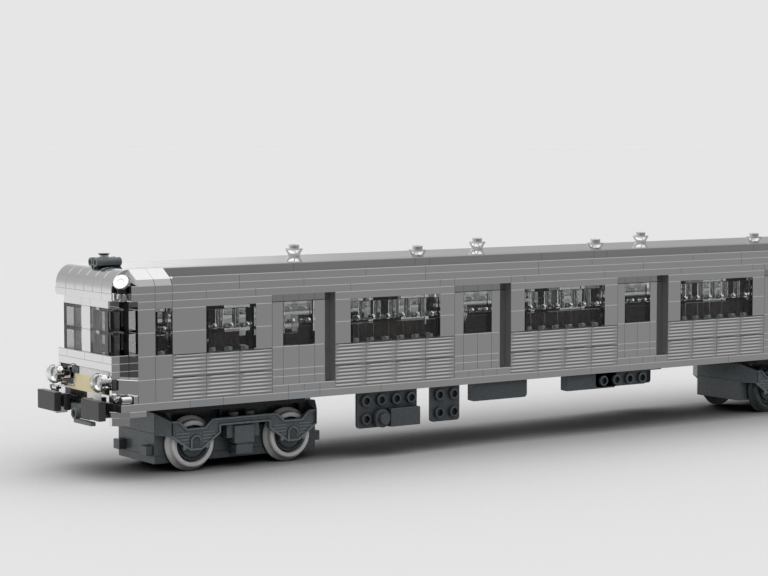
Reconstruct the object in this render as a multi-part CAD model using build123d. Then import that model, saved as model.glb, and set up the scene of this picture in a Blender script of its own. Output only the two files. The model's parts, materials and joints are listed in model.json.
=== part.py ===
from build123d import *
import math
import os

# A toy suburban rail car made of clip-together bricks, in millimetres.
# X runs along the car with the shown cab at low X, Y runs across it and the shown side is at low Y.
# The origin is at the middle of the car, on the surface that the wheels stand on.
# Places on the car are counted on the brick grid: u studs along from the shown side wall's front edge,
# y studs across from the shown side, z plates up from the sill plate's top.

# Brick grid
PITCH = 8.0
PLATE = 3.2
BRICK_PLATES = 3
STUD_D = 4.8
STUD_H = 1.8
BAR_D = 3.18
BAR_HOLE_D = 3.2
ROUND_D = 5.9
BAR_FIT = 0.05

# Car body, in studs and plates
WIDTH_STUDS = 8
WALL_STUDS = 1
NOSE_STUDS = 1
BELT_Z = 6
LINTEL_Z = 12
DOOR_HEAD_Z = 13
CURVE_Z = 14
COURSE_Z = 15
WALL_TOP_Z = 16
ROOF_Z = 17

# Side wall: doors at even steps, with a window between each two and a shorter one at each end
DOOR_COUNT = 4
DOOR_STEP = 12
FIRST_DOOR = 8
DOOR_STUDS = 4
POST_STUDS = 1
CORNER_STUDS = 2
FIRST_WINDOW = 4
DOOR_GLASS_STUDS = 2
DOOR_RECESS = 4.0
RIBS_PER_BRICK = 6
RIB_GROOVE = 0.6
RIB_DEPTH = 0.5
CLEAR_WALL = 1.5

# Cab end
GLASS_SIDE_Y = 1.5
GLASS_SETBACK = 0.8
CAB_PILLAR_STUDS = 1
APRON_Z = 4
NOSE_RECESS = 1.6
CORNER_REACH = 5.4
TAN_STUDS = 3
TAN_THICK = 1.2
TAN_Z = (0.85, 3.05)
ROOF_BEND_R = 7.0
ROOF_FLAT_STUDS = 1.2

# Head lamps
LAMP_Y = 1.5
LAMP_Z = 2.65
LAMP_D = 7.8
LAMP_BODY_L = 3.6
LAMP_NECK_L = 1.2
LAMP_NECK_D = 6.2
LENS_L = 3.6
LENS_ROUND = 2.2

# Buffers, posts and coupler
BUFFER_Y = 1.5
BUFFER_STUDS = 2
BUFFER_REACH = 8.0
BUFFER_TOP_Z = 0.45
BUFFER_STEM_W = 10.0
BUFFER_STEM_H = 4.8
BEAM_STUDS = 1.45
CORNER_STEP_STUDS = 0.5
POST_Y = 10.0
POST_X = 3.0
POST_Z = (-1.9, 0.3)
COUPLER_HEAD_L = 2.4
COUPLER_HEAD_Z = (-2.65, -0.9)
COUPLER_FOOT_Z = (-3.45, -2.65)
COUPLER_FOOT_L = 16.0
COUPLER_FOOT_REACH = 0.8
COUPLER_TUBE_D = 4.6
COUPLER_TUBE_Z = -1.95
COUPLER_TUBE_REACH = 5.3

# Roof corners: bars stand in clips, and one bar of each cab carries a round cap that looks out and up
SLOPE_STUDS = 2
SLOPE_LIP = 2.4
EAVE_STUDS = 0.36
CAP_D = 6.2
CAP_T = 2.8
CAP_LOOK = (-1, -1, 1)
CAP_X = 2.7
CAP_Y = 3.7
CAP_Z = 15.8
BARE_BAR_Z = 15
CLIP_D = 4.6
CLIP_Z = (13.1, 14)
CLIP_W = 3.6

# Roof fittings, each vent at (u, y)
VENTS = [(13.5, 6.5), (26.5, 6.5), (39.5, 6.5), (18.5, 1.5), (31.5, 1.5), (44.5, 1.5)]
VENT_TOP_D = 8.0
VENT_FOOT_H = 1.0
VENT_RIM_H = 0.6
HORN_U = (-0.41, 1.04)
HORN_D = 3.8
HORN_GAP = 4.8
HORN_BORE_D = 2.6
HORN_BORE_L = 3.0

# Underfloor boxes on the shown side
# Studded plates stand on edge: (u, studs in the upper row, studs in the lower row, height in mm, hanger's u)
STUDDED_BOXES = [(13.5, 4, 1, 15.8, 15.0), (18.5, 2, 2, 15.8, 19.5), (30.5, 4, 0, 6.9, 32.0)]
STUD_ROW_DROP = 3.7
STUDDED_Y = 0.2
STUDDED_CORNER = 1.6
HANGER_DEPTH = 9.6
HANGER_H = 6.4
ROUND_TANK_U = 15
TANK_BOX_STUDS = 2
# Smooth boxes: (u, studs along, height in mm)
SMOOTH_BOXES = [(21.5, 4, 8.2), (28.0, 4, 7.4)]
SMOOTH_Y = 0.6
SMOOTH_DEPTH = 16.0
SMOOTH_CORNER = 1.6

# Bogies
FIRST_BOGIE = 7
AXLE_STUDS = 3
FLANGE_D = 23.4
TREAD_D = 20.0
RIM_W = 2.1
FLANGE_T = 1.6
WHEEL_OUT_Y = 20.7
WHEEL_W = 4.5
WEB_T = 2.2
HUB_D = 8.0
AXLE_D = 4.8
AXLE_FIT = 0.05
BLOCK_STUDS = 10
BLOCK_GAP = 0.4
BLOCK_BOTTOM = -7.9
DECK_T = 3.2
DECK_GAP = 0.3
WHEEL_ROOM = 1.9
DECK_W = 40.0
DECK_CORNER = 8.0
PIVOT_D = 12.0
PIVOT_FIT = 0.05
PIVOT_HEAD_D = 15.0
PIVOT_HEAD_T = 1.4
PIVOT_ROOM = 0.3
TAB_W = 5.3
TAB_H = 4.0
TAB_Y = 12.0
TAB_Z = -1.1

# Side frame, half of its outline from the bogie's middle out: (x, height over the axle)
FRAME_GAP = 0.5
FRAME_T = 2.0
BAR_BOTTOM = 7.1
BAR_TOP = 10.4
FRAME_END_X = 35.9
FRAME_TIP = -2.3
FRAME_TOP_HALF = [(0.0, BAR_TOP), (14.5, BAR_TOP), (19.2, 6.1), (28.4, 6.1), (32.6, 10.6), (FRAME_END_X, 10.6)]
FRAME_LOW_HALF = [(FRAME_END_X, 4.0), (26.9, FRAME_TIP), (20.9, FRAME_TIP), (12.2, 4.7), (12.2, BAR_BOTTOM),
                  (0.0, BAR_BOTTOM)]
# Slot, spring, bolster and cheeks of a side frame, heights over the axle
BOX_SLOT_W = 4.2
BOX_SLOT_TOP = 3.0
SPRING_W = 9.8
SPRING_Z = (-1.5, 7.1)
SPRING_FOOT_W = 8.2
SPRING_FOOT_BOTTOM = -6.1
SPRING_INSET = 0.8
BOLSTER_BOTTOM = 1.1
CHEEK_GAP = 0.7
CHEEK_Z = (4.2, 10.6)

# Inside
BENCHES = [(4.5, 6.5), (14, 18.4), (26, 30.4), (38, 42.4), (49.5, 51.5)]
SEAT_DEPTH = 14.0
SEAT_TOP_Z = 5.0
SEAT_BACK_Z = 8.5
SEAT_BACK_T = 3.2
BULKHEAD_U = 3
BULKHEAD_T = 3.2
AISLE_STUDS = 2

# Places that follow from the sizes above
DOORS = [FIRST_DOOR + i * DOOR_STEP for i in range(DOOR_COUNT)]
CAR_STUDS = DOORS[-1] + DOOR_STUDS + FIRST_DOOR
GAPS = [(a + DOOR_STUDS, b) for a, b in zip(DOORS, DOORS[1:])]
END_WINDOW = (FIRST_WINDOW, FIRST_DOOR - POST_STUDS)
WINDOWS = [END_WINDOW, (CAR_STUDS - END_WINDOW[1], CAR_STUDS - END_WINDOW[0])]
WINDOWS += [(a + POST_STUDS, b - POST_STUDS) for a, b in GAPS]
CAB_WINDOWS = [(POST_STUDS, CORNER_STUDS), (CAR_STUDS - CORNER_STUDS, CAR_STUDS - POST_STUDS)]
RIBBED = [(CORNER_STUDS, FIRST_DOOR), (CAR_STUDS - FIRST_DOOR, CAR_STUDS - CORNER_STUDS)] + GAPS
PIERS = [(CORNER_STUDS, FIRST_WINDOW), (CAR_STUDS - FIRST_WINDOW, CAR_STUDS - CORNER_STUDS)]
PIERS += [(u - POST_STUDS, u) for u in DOORS] + [(u + DOOR_STUDS, u + DOOR_STUDS + POST_STUDS) for u in DOORS]
BOGIE_U = [FIRST_BOGIE, CAR_STUDS - FIRST_BOGIE]
SILL_HEIGHT = FLANGE_D + WHEEL_ROOM + DECK_T + DECK_GAP + PLATE
HALF_W = WIDTH_STUDS * PITCH / 2
HALF_L = CAR_STUDS * PITCH / 2
INNER_Y = WIDTH_STUDS - WALL_STUDS
FRONT_X = -HALF_L - NOSE_STUDS * PITCH
NOSE_X = FRONT_X + NOSE_RECESS
DOOR_FACE_Y = DOOR_RECESS / PITCH
DECK_START = ROOF_FLAT_STUDS - NOSE_STUDS
CABIN_HEIGHT = BRICK_PLATES * PLATE
COS45 = math.cos(math.radians(45))


def at_x(u):
    return u * PITCH - HALF_L


def at_y(y):
    return y * PITCH - HALF_W


def at_z(z):
    return z * PLATE + SILL_HEIGHT


def span(x0, x1, y0, y1, z0, z1):
    """A block between six planes, in millimetres."""
    return Pos((x0 + x1) / 2, (y0 + y1) / 2, (z0 + z1) / 2) * Box(x1 - x0, y1 - y0, z1 - z0)


def block(u0, u1, y0, y1, z0, z1):
    """A block on the grid: studs along, studs across, plates up."""
    return span(at_x(u0), at_x(u1), at_y(y0), at_y(y1), at_z(z0), at_z(z1))


def rod_x(x0, x1, y, z, d):
    return Pos((x0 + x1) / 2, y, z) * Rot(0, 90, 0) * Cylinder(d / 2, x1 - x0)


def rod_y(x, y0, y1, z, d):
    return Pos(x, (y0 + y1) / 2, z) * Rot(90, 0, 0) * Cylinder(d / 2, y1 - y0)


def rod_z(x, y, z0, z1, d):
    return Pos(x, y, (z0 + z1) / 2) * Cylinder(d / 2, z1 - z0)


def slab_y(points, y0, y1):
    """A flat outline in X and Z, from one Y plane to another."""
    face = make_face(Plane.XZ * Polyline(*points, close=True))
    return Pos(0, y0, 0) * extrude(face, amount=-(y1 - y0))


def far(shape):
    return mirror(shape, about=Plane.XZ)


def rear(shape):
    return mirror(shape, about=Plane.YZ)


def both_ends(shapes):
    return list(shapes) + [rear(s) for s in shapes]


def four_corners(shapes):
    return both_ends(list(shapes) + [far(s) for s in shapes])


NODES = {}


def keep(name, shapes):
    solids = []
    for shape in shapes:
        solids.extend(shape.solids())
    NODES[name] = solids[0] if len(solids) == 1 else Compound(children=solids)


# Heights of the bogie's deck and block, hung below the sill plate
DECK_TOP = at_z(-1) - DECK_GAP
DECK_BOTTOM = DECK_TOP - DECK_T


def sill_plate():
    return block(-NOSE_STUDS, CAR_STUDS + NOSE_STUDS, 0, WIDTH_STUDS, -1, 0)


def pivot_pin(u):
    head_top = DECK_BOTTOM - PIVOT_ROOM
    shaft = rod_z(at_x(u), 0, head_top - PIVOT_HEAD_T, at_z(-1), PIVOT_D - 2 * PIVOT_FIT)
    return shaft + rod_z(at_x(u), 0, head_top - PIVOT_HEAD_T, head_top, PIVOT_HEAD_D)


# Side walls, drawn on the shown side
def corner_post():
    low = block(0, CORNER_STUDS, 0, WALL_STUDS, 0, BELT_Z)
    return low + block(0, POST_STUDS, 0, WALL_STUDS, BELT_Z, LINTEL_Z)


def ribbed_run(u0, u1):
    run = block(u0, u1, 0, WALL_STUDS, 0, BELT_Z)
    rib_step = CABIN_HEIGHT / RIBS_PER_BRICK
    for rib in range(round(RIBS_PER_BRICK * BELT_Z / BRICK_PLATES)):
        z = at_z(0) + (rib + 0.5) * rib_step
        run -= span(at_x(u0) - 1, at_x(u1) + 1, -HALF_W - 1, -HALF_W + RIB_DEPTH,
                    z - RIB_GROOVE / 2, z + RIB_GROOVE / 2)
    return run


def top_courses():
    wall = block(0, CAR_STUDS, 0, WALL_STUDS, LINTEL_Z, COURSE_Z)
    for u in DOORS:
        wall -= block(u, u + DOOR_STUDS, -1, WALL_STUDS + 1, LINTEL_Z - 1, DOOR_HEAD_Z)
    wall += block(-EAVE_STUDS, CAR_STUDS + EAVE_STUDS, 0, WALL_STUDS, DOOR_HEAD_Z, COURSE_Z)
    cap = block(SLOPE_STUDS, CAR_STUDS - SLOPE_STUDS, 0, WALL_STUDS, COURSE_Z, WALL_TOP_Z)
    ledge = block(DECK_START, CAR_STUDS - DECK_START, WALL_STUDS, 2 * WALL_STUDS, COURSE_Z - 1, WALL_TOP_Z)
    return wall + cap + ledge


DOOR_SIDE = (DOOR_STUDS - DOOR_GLASS_STUDS) / 2


def door_leaf(u):
    leaf = block(u, u + DOOR_STUDS, DOOR_FACE_Y, WALL_STUDS, 1, DOOR_HEAD_Z)
    return leaf - block(u + DOOR_SIDE, u + DOOR_STUDS - DOOR_SIDE, -1, 2, BELT_Z, LINTEL_Z)


def door_step(u):
    return block(u, u + DOOR_STUDS, 0, WALL_STUDS, 0, 1)


def clear_brick(u0, u1, y0, y1, z0, pins):
    """A see-through brick that is open below, with a pin between its studs."""
    z1 = z0 + BRICK_PLATES
    body = block(u0, u1, y0, y1, z0, z1)
    body -= span(at_x(u0) + CLEAR_WALL, at_x(u1) - CLEAR_WALL, at_y(y0) + CLEAR_WALL, at_y(y1) - CLEAR_WALL,
                 at_z(z0) - 1, at_z(z1) - CLEAR_WALL)
    mid_y = (at_y(y0) + at_y(y1)) / 2
    for i in range(1, round(u1 - u0) if pins else 1):
        body += rod_z(at_x(u0 + i), mid_y, at_z(z0), at_z(z1) - CLEAR_WALL / 2, BAR_D)
    return body


def clear_row(z0):
    row = [clear_brick(u0, u1, 0, WALL_STUDS, z0, True) for u0, u1 in WINDOWS]
    row += [clear_brick(u + DOOR_SIDE, u + DOOR_STUDS - DOOR_SIDE, DOOR_FACE_Y, WALL_STUDS, z0, False)
            for u in DOORS]
    row += [clear_brick(u0, u1, 0, WALL_STUDS, z0, False) for u0, u1 in CAB_WINDOWS]
    return row


# Cab, drawn at the shown end
PILLAR_Y = (WIDTH_STUDS - CAB_PILLAR_STUDS) / 2
GLASS_X = -NOSE_STUDS + GLASS_SETBACK / PITCH


def windscreen(z0):
    return clear_brick(GLASS_X, 0, GLASS_SIDE_Y, PILLAR_Y, z0, False)


def cab_pillar():
    return block(GLASS_X, 0, PILLAR_Y, WIDTH_STUDS - PILLAR_Y, BELT_Z, LINTEL_Z)


def cab_header():
    low = block(GLASS_X, 0, GLASS_SIDE_Y, WIDTH_STUDS - GLASS_SIDE_Y, LINTEL_Z, DOOR_HEAD_Z)
    return low + block(-NOSE_STUDS, 1, WALL_STUDS, INNER_Y, DOOR_HEAD_Z, CURVE_Z)


def cab_roof_curve():
    x1 = FRONT_X + ROOF_FLAT_STUDS * PITCH
    z0 = at_z(CURVE_Z)
    z1 = at_z(ROOF_Z)
    bend_x = FRONT_X + ROOF_BEND_R
    bend_z = z1 - ROOF_BEND_R
    half = ROOF_BEND_R * COS45
    outline = Line((FRONT_X, z0), (x1, z0)) + Line((x1, z0), (x1, z1)) + Line((x1, z1), (bend_x, z1))
    outline += ThreePointArc((bend_x, z1), (bend_x - half, bend_z + half), (FRONT_X, bend_z))
    outline += Line((FRONT_X, bend_z), (FRONT_X, z0))
    face = make_face(Plane.XZ * outline)
    return Pos(0, at_y(WALL_STUDS), 0) * extrude(face, amount=-(INNER_Y - WALL_STUDS) * PITCH)


def cab_apron():
    apron = block(-NOSE_STUDS, 0, WALL_STUDS, INNER_Y, APRON_Z, BELT_Z)
    return apron + span(NOSE_X, at_x(0), at_y(WALL_STUDS), at_y(INNER_Y), at_z(0), at_z(APRON_Z))


def corner_panel():
    x1 = at_x(0)
    y0 = at_y(0)
    y1 = at_y(WALL_STUDS)
    mid = (x1 - CORNER_REACH * COS45, y1 - (y1 - y0) * COS45)
    outline = Line((x1 - CORNER_REACH, y1), (x1, y1)) + Line((x1, y1), (x1, y0))
    outline += ThreePointArc((x1, y0), mid, (x1 - CORNER_REACH, y1))
    return Pos(0, 0, at_z(1)) * extrude(make_face(outline), amount=2 * PLATE)


def nose_block():
    half = TAN_STUDS * PITCH / 2
    return span(NOSE_X - TAN_THICK, NOSE_X, -half, half, at_z(TAN_Z[0]), at_z(TAN_Z[1]))


def lamp_body():
    y = at_y(LAMP_Y)
    z = at_z(LAMP_Z)
    neck = rod_x(NOSE_X - LAMP_NECK_L, NOSE_X, y, z, LAMP_NECK_D)
    return neck + rod_x(NOSE_X - LAMP_BODY_L, NOSE_X - LAMP_NECK_L, y, z, LAMP_D)


def lamp_lens():
    x1 = NOSE_X - LAMP_BODY_L
    lens = rod_x(x1 - LENS_L, x1, at_y(LAMP_Y), at_z(LAMP_Z), LAMP_D)
    return fillet(lens.edges().filter_by(GeomType.CIRCLE).sort_by(Axis.X)[0], LENS_ROUND)


BUFFER_X = FRONT_X - BUFFER_REACH
BUFFER_TOP = at_z(BUFFER_TOP_Z)


def buffer():
    y = at_y(BUFFER_Y)
    half = BUFFER_STUDS * PITCH / 2
    return span(BUFFER_X, BUFFER_X + PLATE, y - half, y + half, BUFFER_TOP - PITCH, BUFFER_TOP)


def end_beam():
    """Beam under the sill's end, with the stems that carry the buffers and the posts between them."""
    beam = block(-NOSE_STUDS, BEAM_STUDS - NOSE_STUDS, WALL_STUDS, INNER_Y, -2, -1)
    stem_z = BUFFER_TOP - PITCH / 2
    y = at_y(BUFFER_Y)
    stem = span(BUFFER_X + PLATE, FRONT_X, y - BUFFER_STEM_W / 2, y + BUFFER_STEM_W / 2,
                stem_z - BUFFER_STEM_H / 2, stem_z + BUFFER_STEM_H / 2)
    post = rod_z(FRONT_X - POST_X, -POST_Y, at_z(POST_Z[0]), at_z(POST_Z[1]), BAR_D)
    arm = span(FRONT_X - POST_X, FRONT_X, -POST_Y - BAR_D / 2, -POST_Y + BAR_D / 2, at_z(-1.5), at_z(-1))
    for part in (stem, post, arm):
        beam += part
        beam += far(part)
    return beam


def end_skirt():
    skirt = block(-NOSE_STUDS, BEAM_STUDS - NOSE_STUDS, 0, WALL_STUDS, -2, -1)
    return skirt + block(-NOSE_STUDS, CORNER_STEP_STUDS - NOSE_STUDS, 0, WALL_STUDS, -3, -2)


def coupler():
    half = PITCH
    z = at_z(COUPLER_TUBE_Z)
    tip = FRONT_X - COUPLER_TUBE_REACH
    head = span(FRONT_X - COUPLER_HEAD_L, FRONT_X, -half, half,
                at_z(COUPLER_HEAD_Z[0]), at_z(COUPLER_HEAD_Z[1]))
    foot = span(FRONT_X - COUPLER_FOOT_REACH, FRONT_X + COUPLER_FOOT_L, -half, half,
                at_z(COUPLER_FOOT_Z[0]), at_z(COUPLER_FOOT_Z[1]))
    riser = span(FRONT_X, FRONT_X + COUPLER_FOOT_L, -half, half, at_z(COUPLER_FOOT_Z[1]), at_z(-2))
    tube = rod_x(tip, FRONT_X, 0, z, COUPLER_TUBE_D)
    return head + foot + riser + tube - rod_x(tip - 1, FRONT_X, 0, z, BAR_HOLE_D)


def end_bar():
    return rod_x(FRONT_X, FRONT_X + CORNER_REACH, at_y(0) + BAR_D / 2, at_z(0) + BAR_D / 2, BAR_D)


def corner_slope():
    y0 = at_y(0)
    y1 = at_y(WALL_STUDS)
    z0 = at_z(COURSE_Z)
    outline = Polyline((y0, z0), (y1, z0), (y1, at_z(ROOF_Z)), (y0, z0 + SLOPE_LIP), close=True)
    return Pos(at_x(0), 0, 0) * extrude(make_face(Plane.YZ * outline), amount=SLOPE_STUDS * PITCH)


CORNER_X = FRONT_X + CAP_X
CORNER_Y = at_y(WALL_STUDS) - CAP_Y


def corner_bar(top):
    return rod_z(CORNER_X, CORNER_Y, at_z(DOOR_HEAD_Z), at_z(top), BAR_D)


def corner_cap():
    cap = Plane(origin=(CORNER_X, CORNER_Y, at_z(CAP_Z)), z_dir=CAP_LOOK) * Cylinder(CAP_D / 2, CAP_T)
    return cap + corner_bar(CAP_Z)


def corner_clip():
    z0, z1 = (at_z(z) for z in CLIP_Z)
    clip = rod_z(CORNER_X, CORNER_Y, z0, z1, CLIP_D)
    clip += span(CORNER_X - CLIP_W / 2, CORNER_X + CLIP_W / 2, CORNER_Y, at_y(WALL_STUDS), z0, z1)
    return clip - rod_z(CORNER_X, CORNER_Y, z0 - 1, z1 + 1, BAR_D + 2 * BAR_FIT)


def roof_deck():
    return block(DECK_START, CAR_STUDS - DECK_START, WALL_STUDS, INNER_Y, WALL_TOP_Z, ROOF_Z)


def roof_vent(u, y):
    x = at_x(u)
    across = at_y(y)
    foot_top = at_z(ROOF_Z) + VENT_FOOT_H
    rim_top = at_z(ROOF_Z) + PLATE
    flare_h = PLATE - VENT_FOOT_H - VENT_RIM_H
    vent = rod_z(x, across, at_z(ROOF_Z), foot_top, ROUND_D)
    vent += Pos(x, across, foot_top + flare_h / 2) * Cone(ROUND_D / 2, VENT_TOP_D / 2, flare_h)
    vent += rod_z(x, across, rim_top - VENT_RIM_H, rim_top, VENT_TOP_D)
    return vent + rod_z(x, across, rim_top, rim_top + STUD_H, STUD_D)


def horn():
    x0 = at_x(HORN_U[0])
    x1 = at_x(HORN_U[1])
    mid = (x0 + x1) / 2
    z = at_z(ROOF_Z) + HORN_D / 2
    body = span(x0 + HORN_BORE_L, x1 - HORN_BORE_L, -HORN_GAP / 2, HORN_GAP / 2, at_z(ROOF_Z), z + HORN_D / 2)
    for y in (-HORN_GAP / 2, HORN_GAP / 2):
        body += rod_x(x0, x1, y, z, HORN_D)
        body -= rod_x(x0 - 1, x0 + HORN_BORE_L, y, z, HORN_BORE_D)
    return body + rod_z(mid, 0, z, z + HORN_D / 2 + STUD_H, STUD_D)


# Boxes under the floor, drawn on the shown side
def studded_box(u, upper, lower, height, hanger_u):
    x0 = at_x(u)
    x1 = at_x(u + upper)
    y0 = at_y(STUDDED_Y)
    top = at_z(-1)
    plate = span(x0, x1, y0, y0 + PLATE, top - height, top)
    plate = fillet(plate.edges().filter_by(Axis.Y).sort_by(Axis.Z)[:2], STUDDED_CORNER)
    plate += span(at_x(hanger_u), x1, y0 + PLATE, y0 + HANGER_DEPTH, top - HANGER_H, top)
    for row, studs in enumerate((upper, lower)):
        for i in range(round(studs)):
            x = x0 + (i + 0.5) * PITCH
            z = top - STUD_ROW_DROP - row * PITCH
            plate += rod_y(x, y0 - STUD_H, y0, z, STUD_D)
            plate -= rod_y(x, y0 - STUD_H - 1, y0 + PLATE / 2, z, BAR_HOLE_D)
    return plate


def tank():
    """Round plate and smooth block clipped on the first studded plate's lower row."""
    y1 = at_y(STUDDED_Y)
    z = at_z(-1) - STUD_ROW_DROP - PITCH
    x = at_x(ROUND_TANK_U)
    disc = rod_y(x, y1 - PLATE, y1, z, VENT_TOP_D) + rod_y(x, y1 - PLATE - STUD_H, y1 - PLATE, z, STUD_D)
    x0 = x + PITCH / 2
    return disc + span(x0, x0 + TANK_BOX_STUDS * PITCH, y1 - PLATE, y1, z - PITCH / 2, z + PITCH / 2)


def smooth_box(u, studs, height):
    top = at_z(-1)
    y0 = at_y(SMOOTH_Y)
    box = span(at_x(u), at_x(u + studs), y0, y0 + SMOOTH_DEPTH, top - height, top)
    return fillet(box.edges().filter_by(Axis.Y).sort_by(Axis.Z)[:2], SMOOTH_CORNER)


# Bogie, drawn about its own middle
AXLE_X = AXLE_STUDS * PITCH
AXLE_Z = FLANGE_D / 2
BLOCK_HALF = BLOCK_STUDS * PITCH / 2
BLOCK_W = 2 * (WHEEL_OUT_Y - WHEEL_W - BLOCK_GAP)
FRAME_OUT_Y = WHEEL_OUT_Y + FRAME_GAP + FRAME_T
SPRING_Y = FRAME_OUT_Y - SPRING_INSET
# The cheeks stay clear of the flanges at the height of their lower edge
CHEEK_X = AXLE_X + math.sqrt((FLANGE_D / 2) ** 2 - CHEEK_Z[0] ** 2) + CHEEK_GAP


def bogie_block():
    body = span(-BLOCK_HALF, BLOCK_HALF, -BLOCK_W / 2, BLOCK_W / 2, AXLE_Z + BLOCK_BOTTOM, DECK_BOTTOM)
    for x in (-AXLE_X, AXLE_X):
        body -= rod_y(x, -BLOCK_W, BLOCK_W, AXLE_Z, AXLE_D + 2 * AXLE_FIT)
    low = AXLE_Z + TAB_Z - TAB_H / 2
    tab = span(-BLOCK_HALF - PITCH, -BLOCK_HALF, TAB_Y - TAB_W / 2, TAB_Y + TAB_W / 2, low, low + TAB_H)
    for part in (tab, far(tab), rear(tab), rear(far(tab))):
        body += part
    pocket = DECK_BOTTOM - PIVOT_HEAD_T - 2 * PIVOT_ROOM
    return body - rod_z(0, 0, pocket, DECK_BOTTOM + 1, PIVOT_HEAD_D + 2 * PIVOT_ROOM)


def bogie_deck():
    deck = span(-BLOCK_HALF, BLOCK_HALF, -DECK_W / 2, DECK_W / 2, DECK_BOTTOM, DECK_TOP)
    deck = chamfer(deck.edges().filter_by(Axis.Z), DECK_CORNER)
    return deck - rod_z(0, 0, DECK_BOTTOM - 1, DECK_TOP + 1, PIVOT_D)


def side_frame():
    """Side frame with its axle guards, spring, bolster and the cheeks that join it to the block."""
    right = FRAME_TOP_HALF + FRAME_LOW_HALF
    left = [(-x, z) for x, z in reversed(right)]
    y0 = -FRAME_OUT_Y
    y1 = y0 + FRAME_T
    inner = -BLOCK_W / 2
    frame = slab_y(right + left[1:-1], y0, y1)
    slot_mid = BOX_SLOT_TOP - BOX_SLOT_W / 2
    for x in (-AXLE_X, AXLE_X):
        frame -= span(x - BOX_SLOT_W / 2, x + BOX_SLOT_W / 2, y0 - 1, y0 + FRAME_T / 2, FRAME_TIP - 1, slot_mid)
        frame -= rod_y(x, y0 - 1, y0 + FRAME_T / 2, slot_mid, BOX_SLOT_W)
    frame += span(-PITCH, PITCH, y1, inner, BOLSTER_BOTTOM, BAR_TOP)
    frame += span(-SPRING_W / 2, SPRING_W / 2, -SPRING_Y, inner, SPRING_Z[0], SPRING_Z[1])
    frame += span(-SPRING_FOOT_W / 2, SPRING_FOOT_W / 2, -SPRING_Y, inner, SPRING_FOOT_BOTTOM, SPRING_Z[0])
    for x in (-PITCH / 2, PITCH / 2):
        frame += rod_z(x, (y0 + inner) / 2, BAR_TOP, BAR_TOP + STUD_H, STUD_D)
    cheek = [(-BLOCK_HALF, inner), (-FRAME_END_X, y0), (-CHEEK_X, y0), (-CHEEK_X, inner)]
    wedge = extrude(make_face(Polyline(*cheek, close=True)), amount=CHEEK_Z[1] - CHEEK_Z[0])
    wedge = Pos(0, 0, CHEEK_Z[0]) * wedge
    return Pos(0, 0, AXLE_Z) * (frame + wedge + rear(wedge))


def wheelset():
    axle = rod_y(0, -WHEEL_OUT_Y, WHEEL_OUT_Y, AXLE_Z, AXLE_D)
    inner = -WHEEL_OUT_Y + WHEEL_W
    wheel = rod_y(0, -WHEEL_OUT_Y, inner, AXLE_Z, TREAD_D)
    wheel -= rod_y(0, -WHEEL_OUT_Y - 1, inner - WEB_T, AXLE_Z, TREAD_D - 2 * RIM_W)
    wheel += rod_y(0, inner - FLANGE_T, inner, AXLE_Z, FLANGE_D)
    wheel += rod_y(0, -WHEEL_OUT_Y, inner, AXLE_Z, HUB_D)
    return axle + wheel + far(wheel)


# Inside
def bench(u0, u1):
    y0 = at_y(WALL_STUDS)
    base = span(at_x(u0), at_x(u1), y0, y0 + SEAT_DEPTH, at_z(0), at_z(SEAT_TOP_Z))
    return base + span(at_x(u0), at_x(u1), y0, y0 + SEAT_BACK_T, at_z(0), at_z(SEAT_BACK_Z))


def bulkhead():
    u1 = BULKHEAD_U + BULKHEAD_T / PITCH
    aisle = (WIDTH_STUDS - AISLE_STUDS) / 2
    wall = block(BULKHEAD_U, u1, WALL_STUDS, INNER_Y, 0, WALL_TOP_Z)
    wall -= block(BULKHEAD_U - 1, u1 + 1, aisle, WIDTH_STUDS - aisle, 0, LINTEL_Z)
    ledge = block(BULKHEAD_U - 1, u1 + 1, WALL_STUDS, 2 * WALL_STUDS, COURSE_Z - 1, WALL_TOP_Z)
    return wall - ledge - far(ledge)


# Nodes of the car
keep("sill_plate", [sill_plate()])
keep("pivot_pins", [pivot_pin(u) for u in BOGIE_U])
keep("corner_posts", four_corners([corner_post()]))
SIDE_NODES = {
    "ribbed_bricks": [ribbed_run(u0, u1) for u0, u1 in RIBBED],
    "window_piers": [block(u0, u1, 0, WALL_STUDS, BELT_Z, LINTEL_Z) for u0, u1 in PIERS],
    "top_courses": [top_courses()],
    "door_leaves": [door_leaf(u) for u in DOORS],
    "door_steps": [door_step(u) for u in DOORS],
    "clear_bricks_low": clear_row(BELT_Z),
    "clear_bricks_high": clear_row(BELT_Z + BRICK_PLATES),
}
for name, shapes in SIDE_NODES.items():
    keep(name + "_near", shapes)
    keep(name + "_far", [far(s) for s in shapes])
keep("windscreens_low", four_corners([windscreen(BELT_Z)]))
keep("windscreens_high", four_corners([windscreen(BELT_Z + BRICK_PLATES)]))
keep("cab_headers", both_ends([cab_header()]))
keep("cab_roof_curves", both_ends([cab_roof_curve()]))
keep("cab_pillars", both_ends([cab_pillar()]))
keep("cab_aprons", both_ends([cab_apron()]))
keep("corner_panels", four_corners([corner_panel()]))
keep("nose_blocks", both_ends([nose_block()]))
keep("lamp_bodies", four_corners([lamp_body()]))
keep("lamp_lenses", four_corners([lamp_lens()]))
keep("buffers", four_corners([buffer()]))
keep("end_beams", both_ends([end_beam()]))
keep("end_skirts", four_corners([end_skirt()]))
keep("couplers", both_ends([coupler()]))
keep("end_bars", four_corners([end_bar()]))
keep("corner_slopes", four_corners([corner_slope()]))
cab_corners = [corner_cap(), far(corner_bar(BARE_BAR_Z))]
keep("corner_discs", cab_corners + [Rot(0, 0, 180) * s for s in cab_corners])
keep("corner_clips", four_corners([corner_clip()]))
keep("roof_deck", [roof_deck()])
keep("roof_vents", [roof_vent(u, y) for u, y in VENTS])
keep("horns", both_ends([horn()]))
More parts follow.
